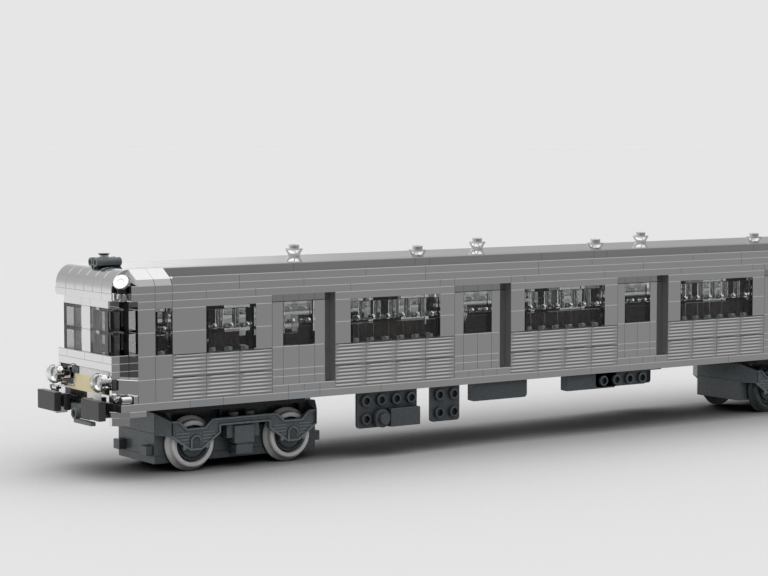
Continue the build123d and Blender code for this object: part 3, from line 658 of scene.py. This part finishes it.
# Ends of the sill: bars, skirts, buffers, posts and couplers
bars = Batch()
bars.rod((gx(-0.93), gy(0) + 1.6, gz(0) + 1.6), "x", 1.59, 0.6 * PITCH, 0.25)
bars.grid_brick(-0.26, 0, 0.02, 0.6, 0, 1)
bars.rod((gx(-1.05), gy(0) + 2.2, gz(0) + 1.4), "z", 1.1, 1.7, 0.25)
bars.block(gx(-1.15), gx(-0.9), gy(0.45), gy(1), gz(0.35), gz(0.75), 0.3)
bars.block(gx(-1.05), gx(-0.75), gy(0.5), gy(1), gz(0.75), gz(0.95), 0.15)
bars.copies(far, rear, opposite)
emit("end_bar_pieces", bars, CHROME, "car", ["end_bars"])

tips = Batch()
tips.rod((gx(-0.33), gy(0) + 1.6, gz(0) + 1.6), "x", 1.7, 0.5, 0.1)
tips.rod((gx(-1.02), gy(0) + 1.6, gz(0) + 1.6), "x", 1.5, 0.16 * PITCH, 0.1)
tips.grid_block(-1.01, -0.9, 0.03, 0.63, -0.95, -0.2, 0.05)
tips.copies(far, rear, opposite)
emit("end_bar_tips", tips, BLACK, "car")

plug = Batch()
plug.grid_block(-1.02, -0.9, 0.65, 1.27, -0.92, 0.0, 0.1)
plug.grid_block(-0.98, -0.75, 0.9, 1.0, 1.65, 2.95, 0.1)
plug.copies(far, rear, opposite)
emit("sill_corner_plugs", plug, DARK, "car")

skirts = Batch()
upper = [(-1.27, 1.1), (-1.27, 0.77), (-0.5, 0), (0.45, 0), (0.45, 1.1)]
lower = [(-1.17, 1.0), (-1.17, 0.67), (-0.5, 0), (-0.5, 1.0)]
skirts.prism([(gx(u), gy(y)) for u, y in upper], "z", gz(-1.75), gz(-1), 0.1)
skirts.prism([(gx(u), gy(y)) for u, y in lower], "z", gz(-2.8), gz(-1.76), 0.1)
skirts.copies(far, rear, opposite)
emit("end_skirt_plates", skirts, CHROME, "car", ["end_skirts"])

STEM_Z = gz(0.45) - 4.0
POST = [(0, 0), (1.1, 0), (1.6, 0.5), (1.6, 6.9), (1.45, 7.05), (0, 7.05)]
beam = Batch()
beam.grid_block(-0.9, 0.45, 1.12, 6.88, -2, -1)
for y in (gy(1.62), gy(6.38)):
    beam.block(gx(-1) - 4.8, gx(-1) + 1, y - 2, y + 2, STEM_Z - 2.4, STEM_Z + 2.4, 0.3)
for y in (-10.0, 10.0):
    beam.block(gx(-1) - 3, gx(-1) + 1, y - 1.6, y + 1.6, gz(-1.5), gz(-1), 0.2)
    beam.turned(POST, (gx(-1) - 3, y, gz(-1.9)), "z")
beam.copies(rear)
emit("end_beam_pieces", beam, BLACK, "car", ["end_beams"])

plates = Batch()
for y in (gy(1.5), gy(6.5)):
    plates.block(gx(-2), gx(-2) + 3.2, y - 8, y + 8, gz(0.45) - 8, gz(0.45), 0.2)
plates.copies(rear)
emit("buffer_plates", plates, BUFFER, "car", ["buffers"])

# Head lamps: two bright rings on a neck and a hollow clear lens before them
LAMP = (gx(-0.7), gy(1.5), gz(2.6))
LAMP_R = 4.0
BOWL = [(0, 0), (2.6, 0), (2.6, -3.2), (3.3, -3.4), (3.6, -3.7), (3.6, -4.7), (3.3, -5.0), (3.3, -5.2),
        (3.75, -5.4), (LAMP_R, -5.7), (LAMP_R, -6.6), (3.8, -6.8), (2.9, -6.8), (2.4, -5.9), (1.1, -5.6),
        (1.1, -6.4), (0, -6.5)]
LENS_CAP = [(0, -9.3), (1.6, -9.2), (2.9, -8.8), (3.7, -8.0), (LAMP_R, -7.2), (LAMP_R, -6.85), (3.1, -6.85),
            (2.9, -7.5), (2.2, -8.1), (1.2, -8.4), (0, -8.45)]
lamps = Batch()
lamps.turned(BOWL, LAMP, "x", 36)
lamps.copies(far, rear, opposite)
emit("lamp_bowls", lamps, CHROME, "car", ["lamp_bodies"], 28)

# Black plugs in the bowls' side holes: painted shade inside the holes
eyes = Batch()
for x in (-4.2, -6.1):
    eyes.rod((LAMP[0] + x, LAMP[1] - 3.2, LAMP[2] - 0.6), "y", 0.75, -0.85, 0.1)
    eyes.rod((LAMP[0] + x, LAMP[1] + 3.2, LAMP[2] - 0.6), "y", 0.75, 0.85, 0.1)
eyes.copies(far, rear, opposite)
emit("lamp_side_holes", eyes, BLACK, "car")

lens = Batch()
lens.turned(LENS_CAP, LAMP, "x", 40)
lens.copies(far, rear, opposite)
emit("lamp_lens_caps", lens, LENS, "car", ["lamp_lenses"], 50)

# Coupler, with its tube facing forward
RING = [(1.6, 5.3), (1.6, 0.15), (1.75, 0), (2.15, 0), (2.3, 0.2), (2.3, 5.3)]
coupling = Batch()
coupling.block(gx(-1) - 2.4, gx(-1), -8, 8, gz(-2.65), gz(-0.9), 0.2)
coupling.block(gx(-1.68), gx(-1.4), gy(2.0), gy(3.96), gz(-3.1), gz(-2.6), 0.15)
coupling.block(gx(-1.3), gx(1), -8, 8, gz(-2.6), gz(-2), 0.1)
coupling.turned(RING, (gx(-1) - 5.3, 0, gz(-1.95)), "x", 32)
coupling.copies(rear)
emit("coupler_pieces", coupling, STONE, "car", ["couplers"])

# Horns: two long tubes over a short one, joined by a face plate, with a bright stud on top
HORN_X = gx(-0.46)
HORN_L = 11.6
HORN_Z = gz(17)
STUD_X = HORN_X + 5.2
# Each tube's y, its height over HORN_Z, its radius, its bore and its length
TUBES = ((-2.2, 1.85, 1.9, 1.15, HORN_L), (2.2, 1.85, 1.9, 1.15, HORN_L), (0, -0.2, 1.3, 0.75, 4.0))
horn = Batch()
for y, z, r, bore, length in TUBES:
    mouth = [(0, 0.8), (bore, 0.8), (bore, 0.12), (bore + 0.12, 0), (r - 0.15, 0), (r, 0.15)]
    back = [(r - 0.1, length - 2.2), (r - 0.1, length - 1.4), (r, length - 1.2), (r, length - 0.15),
            (r - 0.15, length), (0, length)]
    horn.turned(mouth + back, (HORN_X, y, HORN_Z + z), "x")
HULL_POINTS = 30
hull = []
for i in range(HULL_POINTS):
    way = (math.cos(2 * math.pi * i / HULL_POINTS), math.sin(2 * math.pi * i / HULL_POINTS))
    y, z, r = max((t[:3] for t in TUBES), key=lambda t: t[0] * way[0] + t[1] * way[1] + t[2])
    hull.append((y + r * way[0], HORN_Z + z + r * way[1]))
horn.prism(hull, "x", HORN_X + 0.8, HORN_X + 2.4, 0.1)
horn.block(HORN_X + 2, HORN_X + HORN_L - 1, -2.2, 2.2, HORN_Z + 0.2, HORN_Z + 3.5, 0.2)
horn.block(HORN_X + 7.5, HORN_X + HORN_L - 0.2, -3.2, 3.2, HORN_Z, HORN_Z + 1.2, 0.3)
horn.copies(rear)
emit("horn_tubes", horn, BOGIE, "car", ["horns"])

# The tubes' mouth rims in the lighter copy: painted highlight
mouths = Batch()
for y, z, r, bore, _ in TUBES:
    ring = [(bore, 0.3), (bore, -0.06), (r - 0.12, -0.06), (r - 0.12, 0.3)]
    mouths.turned(ring, (HORN_X, y, HORN_Z + z), "x")
mouths.copies(rear)
emit("horn_mouths", mouths, BOGIE_RIM_HIGHLIGHT, "car")

# Black discs in the tubes' bores: painted shade inside the holes. A black disc also tops the stud
bores = Batch()
for y, z, _, bore, _ in TUBES:
    bores.rod((HORN_X + 0.15, y, HORN_Z + z), "x", bore + 0.02, 0.5, 0.02)
bores.rod((STUD_X, 0, HORN_Z + 5.0), "z", STUD_R, 0.4, 0.1)
bores.copies(rear)
emit("horn_bores", bores, BLACK, "car")

horn_stud = Batch()
horn_stud.rod((STUD_X, 0, HORN_Z + 3.4), "z", 2.0, 1.6, 0.3)
horn_stud.copies(rear)
emit("horn_studs", horn_stud, CHROME, "car")

# Windows: clear bricks, glowing dots and rods in their upper row as painted glints, and the studs that they
# stand on
CLEAR_T = 1.5
PAINTED_GLINT_DOT = [(0, -0.65), (0.5, -0.4), (0.65, 0), (0.5, 0.4), (0, 0.65)]
clear = Batch()
painted_glints = Batch()
knobs = Batch()


def window_brick(u0, u1, y0, y1, z0, pins=True, studs=True):
    """A clear brick open below: walls, a top and its studs, and inside a pin between each two studs."""
    x0, x1 = gx(u0) + GAP, gx(u1) - GAP
    a, b = gy(y0) + GAP, gy(y1) - GAP
    bottom, top = gz(z0) + GAP, gz(z0 + 3) - GAP
    outer = [(x0, a), (x1, a), (x1, b), (x0, b)]
    inner = [(x0 + CLEAR_T, a + CLEAR_T), (x1 - CLEAR_T, a + CLEAR_T), (x1 - CLEAR_T, b - CLEAR_T),
             (x0 + CLEAR_T, b - CLEAR_T)]
    verts = []
    for ring, z in ((outer, bottom), (outer, top), (inner, top - CLEAR_T), (inner, bottom)):
        verts += [(p[0], p[1], z) for p in ring]
    faces = [[4, 5, 6, 7], [8, 9, 10, 11]]
    for k0, k1 in ((0, 1), (2, 3), (3, 0)):
        for i in range(4):
            j = (i + 1) % 4
            faces.append([4 * k0 + i, 4 * k0 + j, 4 * k1 + j, 4 * k1 + i])
    clear.add(verts, faces)
    mid = (a + b) / 2
    count = round(u1 - u0)
    for i in range(count):
        if studs:
            clear.stud(x0 + (i + 0.5) * PITCH, mid, top + 0.01)
        # Glowing dots and thin rods in the upper row: painted glints of the studs and pins
        if z0 > 6:
            painted_glints.turned(PAINTED_GLINT_DOT, (x0 + (i + 0.73) * PITCH, mid, bottom + 1.1), "z", 12)
        if pins and i:
            if z0 > 6:
                painted_glints.rod((x0 + i * PITCH + 1.35, mid, bottom + 0.3), "z", 0.32, 7.4, 0.05, 12)
            clear.rod((x0 + i * PITCH, mid, bottom), "z", 1.59, top - CLEAR_T - bottom - 0.01, 0.05, 20)


for u0, u1 in WINDOWS:
    for z in (6, 9):
        window_brick(u0, u1, 0, 1, z)
for u0, u1 in CAB_WINDOWS:
    for z in (6, 9):
        window_brick(u0, u1, 0, 1, z, False)
for u in DOORS:
    for z in (6, 9):
        window_brick(u + 1, u + 3, 0.5, 1, z, False, z == 6)
for u0, u1 in WINDOWS + CAB_WINDOWS:
    for u in range(u0, u1):
        knobs.stud(gx(u + 0.5), gy(0.5), gz(6) + 0.02)
knobs.copies(far)
emit("window_base_studs", knobs, CHROME, "car")
painted_glints.copies(far)
emit("window_painted_glints", painted_glints, PAINTED_GLINT, "car")
clear.copies(far)
emit("side_windows", clear, CLEAR, "car", pair("clear_bricks_low") + pair("clear_bricks_high"), 30)

# Underfloor plates on edge: (u, studs in the upper row, studs in the lower row, height)
STUDDED = [(13.55, 4, 1, 15.8), (18.5, 2, 2, 15.8), (30.5, 4, 0, 6.9)]
# Smooth ones: (u, length in studs, height)
SMOOTH = [(21.5, 3.85, 8.2), (28.32, 3.78, 7.4)]
PLATE_FACE = gy(0.2)  # their outer side
PLATE_BACK = PLATE_FACE + PLATE
SHEET = 1.6
DROP = 3.7  # from the sill's underside to the upper studs
ROUND = 1.6
UNDER = gz(-1)


def plate_outline(x0, x1, bottom, left=ROUND):
    points = [(x0, UNDER), (x0, bottom + left)]
    for cx, r, start in ((x0 + left, left, 180), (x1 - ROUND, ROUND, 270)):  # the two lower corners
        for k in range(6):
            a = math.radians(start + 18 * k)
            points.append((cx + r * math.cos(a), bottom + r + r * math.sin(a)))
    return points + [(x1, UNDER)]


studded = Batch()
for u, upper_row, lower_row, h in STUDDED:
    outline = plate_outline(gx(u), gx(u + upper_row), UNDER - h)
    studded.prism(outline, "y", PLATE_FACE, PLATE_FACE + SHEET, 0.1)
    for row, count in enumerate((upper_row, lower_row)):
        for i in range(count):
            studded.stud(gx(u + i + 0.5), PLATE_FACE, UNDER - DROP - row * PITCH, "y", -1, 1.6)
studded.grid_block(30.6, 35.9, 0.45, 2, -1.3, -1)
smooth_plates = Batch()
for u, length, h in SMOOTH:
    outline = plate_outline(gx(u), gx(u + length), UNDER - h, 0.4)
    smooth_plates.prism(outline, "y", PLATE_FACE, PLATE_BACK, 0.1)
    outline = plate_outline(gx(u) + 0.1, gx(u + length) - 0.1, UNDER - h + 0.1, 0.4)
    smooth_plates.prism(outline, "y", PLATE_BACK, PLATE_BACK + SHEET, 0.1)
tanks = Batch()
tank_x, tank_z = gx(15), UNDER - DROP - PITCH
tanks.rod((tank_x, PLATE_FACE, tank_z), "y", 4.0, -PLATE, 0.2)
tanks.rod((tank_x, PLATE_FACE - PLATE, tank_z), "y", STUD_R, -1.8, 0.12)
tanks.block(tank_x + 4.1, tank_x + 20, PLATE_FACE - PLATE, PLATE_FACE, tank_z - 4, tank_z + 4, 0.15)


def far_turned(x, y, z):
    """Half a turn to the far side, and one stud nearer the shown cab, so that the near plates hide these."""
    return (-x - PITCH, -y, z)


for name, batch, stem in (("studded_plates", studded, "studded_boxes"),
                          ("smooth_plates", smooth_plates, "smooth_boxes"),
                          ("tank_pieces", tanks, "tank_blocks")):
    batch.copies(far_turned)
    emit(name, batch, DARK, "car", pair(stem))

# Bogies, drawn about their own middles
AXLE_X = 24.0
AXLE_Z = 11.7
WHEEL_OUT = 20.7
FRAME_OUT = 23.2
BOGIE_X = 168.0
FRAME_HALF = [(16.0, 10.4), (19.8, 7.0), (28.4, 7.0), (32.0, 10.5), (36, 10.5), (36, 4.1), (26.9, -2.4),
              (21.1, -2.4), (12, 4.1), (12, 7.1)]
RIM_W = 0.85
CORE_END = 40
CORE_HALF = 15.8
POCKET_Z = 16.6
CORE_TOP = 25.3
CORE_EDGE = 0.12
TAB_OUT = 3.0
TAB_W = 5.3
TAB_H = 4.2
TAB_Y = 12.0
TAB_Z = -2.3


def inset_outline(points, width):
    n = len(points)
    out = []
    for i in range(n):
        p, q, r = (Vector(points[(i + k) % n]) for k in (-1, 0, 1))
        d0, d1 = (q - p).normalized(), (r - q).normalized()
        m = Vector((d0.y + d1.y, -d0.x - d1.x))
        out.append(tuple(q + m * (width / max(0.3, 1 + d0.dot(d1)))))
    return out


def arch(x, r, top, foot, n=12):
    points = [(x + r, foot), (x - r, foot)]
    for k in range(n + 1):
        a = math.pi * (1 - k / n)
        points.append((x + r * math.cos(a), top - r + r * math.sin(a)))
    return points[1:] + points[:1]


def side_frame():
    """A frame in three parts: its plate with spring, bolster and cheeks; its rims and louvres; its slots."""
    f = Batch()
    rims = Batch()
    slots = Batch()
    outline = [(x, z + AXLE_Z) for x, z in FRAME_HALF + [(-x, z) for x, z in reversed(FRAME_HALF)]]
    inner = inset_outline(outline, RIM_W)
    y0 = -FRAME_OUT
    f.prism(outline, "y", y0 + 0.7, y0 + 2.0, 0.05)
    n = len(outline)
    for i in range(n):
        j = (i + 1) % n
        rims.prism([outline[i], outline[j], inner[j], inner[i]], "y", y0, y0 + 0.8, 0.15)
    for x in (-AXLE_X, AXLE_X):
        for k, half in enumerate((7.5, 8.8, 10.2, 9.4)):
            z = AXLE_Z + 0.6 + 1.35 * k
            for side in (-1, 1):
                edges = (x + side * 3.2, x + side * half)
                rims.block(min(edges), max(edges), y0 + 0.45, y0 + 0.8, z, z + 0.7, 0.15)
        ring = arch(x, 2.7, AXLE_Z + 4.1, AXLE_Z - 2.4)
        hole = arch(x, 1.9, AXLE_Z + 3.3, AXLE_Z - 2.4)
        for i in range(1, len(ring) - 1):
            rims.prism([ring[i - 1], ring[i], hole[i], hole[i - 1]], "y", y0 - 0.1, y0 + 0.8, 0.1)
        slots.prism(hole, "y", y0 + 0.4, y0 + 0.8, 0.02)
        for side in (-1, 1):
            edges = (x + side * 4.6, x + side * 6.2)
            rims.block(min(edges), max(edges), y0 + 0.1, y0 + 0.8, AXLE_Z - 1.9, AXLE_Z + 0.2, 0.2)
    f.block(-8, 8, y0 + 2.0, -CORE_HALF, AXLE_Z + 1.1, AXLE_Z + 10.4)
    f.block(-4.9, 4.9, y0 + 0.8, -CORE_HALF, AXLE_Z - 1.4, AXLE_Z + 6.4, 0.25)
    f.block(-4.1, 4.1, y0 + 0.8, -CORE_HALF, AXLE_Z - 6.1, AXLE_Z - 1.9, 0.25)
    f.block(-3.4, 3.4, y0 + 1.2, -CORE_HALF, AXLE_Z - 2.2, AXLE_Z - 1.0, 0.1)
    for x in (-4, 4):
        f.rod((x, -19.5, AXLE_Z + 10.4), "z", STUD_R, 1.7, 0.15)
        f.brick(x - 4, x + 4, y0 + 1.0, -CORE_HALF, AXLE_Z + 9.2, AXLE_Z + 10.4, 0.1)
    cheek = [(40, -CORE_HALF, 25.2), (36.1, y0, 22.3), (35.2, y0, 22.3), (35.2, -CORE_HALF, 25.2)]
    for side in (-1, 1):
        f.add([(side * x, y, AXLE_Z + 4.2) for x, y, z in cheek] + [(side * x, y, z) for x, y, z in cheek],
              [[3, 2, 1, 0], [4, 5, 6, 7]] + [[i, (i + 1) % 4, 4 + (i + 1) % 4, 4 + i] for i in range(4)])
    return f, rims, slots


def bogie_core(end):
    """The block between the wheels, in layers round the pivot's pocket. Only the front one has its tabs."""
    c = Batch()
    for z0, z1 in ((3.8, 7.0), (7.0, POCKET_Z)) if end == "front" else ((6.6, POCKET_Z),):
        c.block(-CORE_END, CORE_END, -CORE_HALF, CORE_HALF, z0, z1, CORE_EDGE)
    for x0, x1, half in ((-CORE_END, -32, CORE_HALF), (-32, -8, 12.5), (8, 32, 12.5),
                         (32, CORE_END, CORE_HALF)):
        c.block(x0, x1, -half, half, POCKET_Z, CORE_TOP, CORE_EDGE)
    for y0, y1 in ((-CORE_HALF, -8), (8, CORE_HALF)):
        c.block(-8, 8, y0, y1, POCKET_Z, CORE_TOP, CORE_EDGE)
    low = AXLE_Z + TAB_Z - TAB_H / 2
    reach = TAB_OUT / 2 + 0.2
    for side, along in product((-1, 1), (-1, 1) if end == "front" else ()):
        x = along * (CORE_END + TAB_OUT / 2)
        y = side * TAB_Y
        c.block(x - reach, x + reach, y - TAB_W / 2, y + TAB_W / 2, low, low + TAB_H, 0.25)
        c.rod((along * CORE_END, y + 3.6, low + 1.6), "x", 1.2, along * 1.0, 0.2)
    return c


def wheel_pair(profile):
    w = Batch()
    w.turned(profile, (0, -WHEEL_OUT, AXLE_Z), "y", 56)
    w.copies(far)
    return w


TYRE = [(0, 2.2), (7.8, 2.2), (7.85, 0.35), (8.0, 0.1), (9.4, 0), (9.85, 0.3), (10.05, 1.0), (10.2, 2.4),
        (11.3, 3.2), (11.7, 3.7), (11.6, 4.3), (11.3, 4.5), (0, 4.5)]
CENTRE = [(0, 0.35), (5.0, 0.35), (5.5, 0.6), (5.75, 1.1), (5.8, 1.9), (6.5, 1.95), (6.6, 1.3), (6.8, 1.2),
          (7.05, 1.3), (7.2, 1.9), (7.7, 2.15), (0, 2.18)]


def moved(batch, x):
    batch.verts = [(v[0] + x, v[1], v[2]) for v in batch.verts]
    return batch


for end, sign in (("front", -1), ("rear", 1)):
    body = "bogie_" + end
    frames, rims, slots = (part.copies(far) for part in side_frame())
    x = sign * BOGIE_X
    emit("frames_" + end, moved(frames, x), BOGIE, body, ["side_frames_" + end])
    # Rims and louvres in the lighter copy: painted highlight
    emit("frame_rims_" + end, moved(rims, x), BOGIE_RIM_HIGHLIGHT, body)
    # Slots in the darker grey: painted shade in the frames' recesses
    emit("frame_slots_painted_shade_" + end, moved(slots, x), DARK, body)
    emit("core_" + end, moved(bogie_core(end), x), BOGIE, body, ["bogie_block_" + end])
    for order, side in (("outer", sign), ("inner", -sign)):
        spin = "axle_" + end + "_" + order
        x = sign * BOGIE_X + side * AXLE_X
        tyre = LIGHT if end == "front" else DARK
        emit("tyres_" + end + "_" + order, moved(wheel_pair(TYRE), x), tyre, spin,
             ["wheelset_" + end + "_" + order], 35)
        centres = wheel_pair(CENTRE)  # with the axle between them
        centres.rod((0, -WHEEL_OUT + 3, AXLE_Z), "y", 2.4, 2 * (WHEEL_OUT - 3))
        emit("centres_" + end + "_" + order, moved(centres, x), BOGIE, spin, [], 35)

# Floor: pale, with a painted soft shadow near the car from ambient occlusion, and not seen in its mirror-like
# sides
FLOOR_GREY = (0.82, 0.82, 0.82)
bpy.ops.mesh.primitive_plane_add(size=30, location=(0, 0, 0))
floor = bpy.context.object
floor.name = "floor"
floor_material, matt = new_material("floor", FLOOR_GREY, 0.8)
matt.inputs["Specular IOR Level"].default_value = 0.0
tree = floor_material.node_tree
path = tree.nodes.new("ShaderNodeLightPath")
clearer = tree.nodes.new("ShaderNodeBsdfTransparent")
mix = tree.nodes.new("ShaderNodeMixShader")
tree.links.new(path.outputs["Is Glossy Ray"], mix.inputs["Fac"])
tree.links.new(matt.outputs["BSDF"], mix.inputs[1])
tree.links.new(clearer.outputs["BSDF"], mix.inputs[2])
tree.links.new(mix.outputs["Shader"], tree.nodes["Material Output"].inputs["Surface"])
# Painted shadow: the floor's grey darkened by ambient occlusion near the car
shaded = mix_colors(tree, painted_shade_factor(tree, 0.35, 0.7), 0.0, FLOOR_GREY)
tree.links.new(shaded, matt.inputs["Base Color"])
floor.data.materials.append(floor_material)

# World: a studio panorama that lights and is mirrored, and a plain background for camera and glass
world = bpy.data.worlds.new("studio")
bpy.context.scene.world = world
world.use_nodes = True
sky = world.node_tree
sky.nodes.clear()
out = sky.nodes.new("ShaderNodeOutputWorld")
coord = sky.nodes.new("ShaderNodeTexCoord")
path = sky.nodes.new("ShaderNodeLightPath")


def math_node(op, a, b=None, c=None):
    n = sky.nodes.new("ShaderNodeMath")
    n.operation = op
    for i, v in enumerate((a, b, c)):
        if v is None:
            continue
        if isinstance(v, (int, float)):
            n.inputs[i].default_value = v
        else:
            sky.links.new(v, n.inputs[i])
    return n.outputs[0]


def ramp_node(fac, stops):
    """Grey levels at places from 0 to 1, and straight lines between them."""
    n = sky.nodes.new("ShaderNodeValToRGB")
    n.color_ramp.interpolation = "LINEAR"
    els = n.color_ramp.elements
    while len(els) > 1:
        els.remove(els[-1])
    els[0].position = stops[0][0]
    els[0].color = (stops[0][1],) * 3 + (1,)
    for p, v in stops[1:]:
        e = els.new(p)
        e.color = (v, v, v, 1)
    sky.links.new(fac, n.inputs["Fac"])
    return n.outputs["Color"]


sep = sky.nodes.new("ShaderNodeSeparateXYZ")
sky.links.new(coord.outputs["Generated"], sep.inputs[0])
# Turn from the far side (+Y) towards the car's rear (+X), as a share of a whole turn, 0.5 at +Y
turn = math_node("ARCTAN2", sep.outputs["X"], sep.outputs["Y"])
share = math_node("MULTIPLY_ADD", turn, 1 / (2 * math.pi), 0.5)
height = math_node("MULTIPLY_ADD", math_node("ARCSINE", sep.outputs["Z"]), 1 / math.pi, 0.5)


def at(deg):
    return 0.5 + deg / 360


def up(deg):
    return 0.5 + deg / 180


LIFT = 12 / 180
# Bands of the studio from below upwards: the floor, a ring near the horizon, the middle, the top, the zenith.
# Each row gives a direction in degrees and its level
RING_LEVELS = ((-180, 0.16), (-150, 0.06), (-140, 0.06), (-120, 0.17), (-104, 0.20), (-80, 0.21), (-60, 0.50),
               (-28, 0.72), (0, 0.85), (26, 0.9), (29, 0.8), (33, 0.45), (38, 0.37), (60, 0.36), (110, 0.25),
               (145, 0.235), (180, 0.16))
MIDDLE_LEVELS = ((-180, 0.35), (-90, 0.40), (-20, 0.40), (12, 0.43), (20, 0.55), (26, 0.9), (29, 0.8),
                 (33, 0.45), (45, 0.37), (100, 0.42), (145, 0.48), (180, 0.35))
TOP_LEVELS = ((-180, 1.1), (-40, 1.15), (30, 0.95), (100, 0.92), (180, 1.1))
ZENITH = 0.8
FLOOR_MIRRORED = 0.13
ring, middle, top = (ramp_node(share, [(at(d), v) for d, v in levels])
                     for levels in (RING_LEVELS, MIDDLE_LEVELS, TOP_LEVELS))
# The dim band near the horizon reaches higher on the camera's own side
lift = ramp_node(share, [(0.0, 0.0), (at(60), 0.0), (at(110), LIFT), (at(172), LIFT), (1.0, 0.0)])
raised = math_node("SUBTRACT", height, lift)
to_middle = ramp_node(raised, [(0.0, 0.0), (up(-4.4), 0.0), (up(-3), 0.35), (up(0), 0.65), (up(6), 0.85),
                               (up(20), 1.0)])
to_top = ramp_node(height, [(0.0, 0.0), (up(38), 0.0), (up(47), 1.0), (1.0, 1.0)])
to_zenith = ramp_node(height, [(0.0, 0.0), (up(60), 0.0), (up(76), 1.0), (1.0, 1.0)])
to_floor = ramp_node(height, [(0.0, 1.0), (up(-30), 1.0), (up(-8), 0.0), (1.0, 0.0)])
panorama = mix_colors(sky, to_middle, ring, middle)
panorama = mix_colors(sky, to_top, panorama, top)
panorama = mix_colors(sky, to_zenith, panorama, ZENITH)
panorama = mix_colors(sky, to_floor, panorama, FLOOR_MIRRORED)


BACKGROUND = 0.791
lit = sky.nodes.new("ShaderNodeBackground")
sky.links.new(panorama, lit.inputs["Color"])
plain = sky.nodes.new("ShaderNodeBackground")
plain.inputs["Color"].default_value = (BACKGROUND, BACKGROUND, BACKGROUND, 1)
unreflected = math_node("LESS_THAN", path.outputs["Glossy Depth"], 0.5)
through = math_node("MULTIPLY", path.outputs["Is Transmission Ray"], unreflected)
seen = math_node("MAXIMUM", path.outputs["Is Camera Ray"], through)
either = sky.nodes.new("ShaderNodeMixShader")
sky.links.new(seen, either.inputs["Fac"])
sky.links.new(lit.outputs[0], either.inputs[1])
sky.links.new(plain.outputs[0], either.inputs[2])
sky.links.new(either.outputs[0], out.inputs["Surface"])

# Soft light from nearly overhead
SUN_ENERGY = 0.79
SUN_ANGLE = 110
SUN_TILT = (-8, -12)
sun = bpy.data.objects.new("sun", bpy.data.lights.new("sun", "SUN"))
bpy.context.scene.collection.objects.link(sun)
sun.data.energy = SUN_ENERGY
sun.data.angle = math.radians(SUN_ANGLE)
sun.rotation_euler = (math.radians(SUN_TILT[0]), math.radians(SUN_TILT[1]), 0)
sun.visible_glossy = False

# Camera
cam_data = bpy.data.cameras.new("camera")
cam = bpy.data.objects.new("camera", cam_data)
bpy.context.scene.collection.objects.link(cam)
cam_data.sensor_fit = "HORIZONTAL"
cam_data.sensor_width = SENSOR_MM
cam_data.lens = FOCAL_PX / IMAGE_W * SENSOR_MM
cam_data.clip_start = 0.01
cam_data.clip_end = 100
cam.location = CAMERA_AT
cam.rotation_euler = (math.radians(90 - CAMERA_DOWN), 0, math.radians(CAMERA_AZIMUTH))
bpy.context.scene.camera = cam
bpy.context.scene.view_settings.view_transform = "Standard"
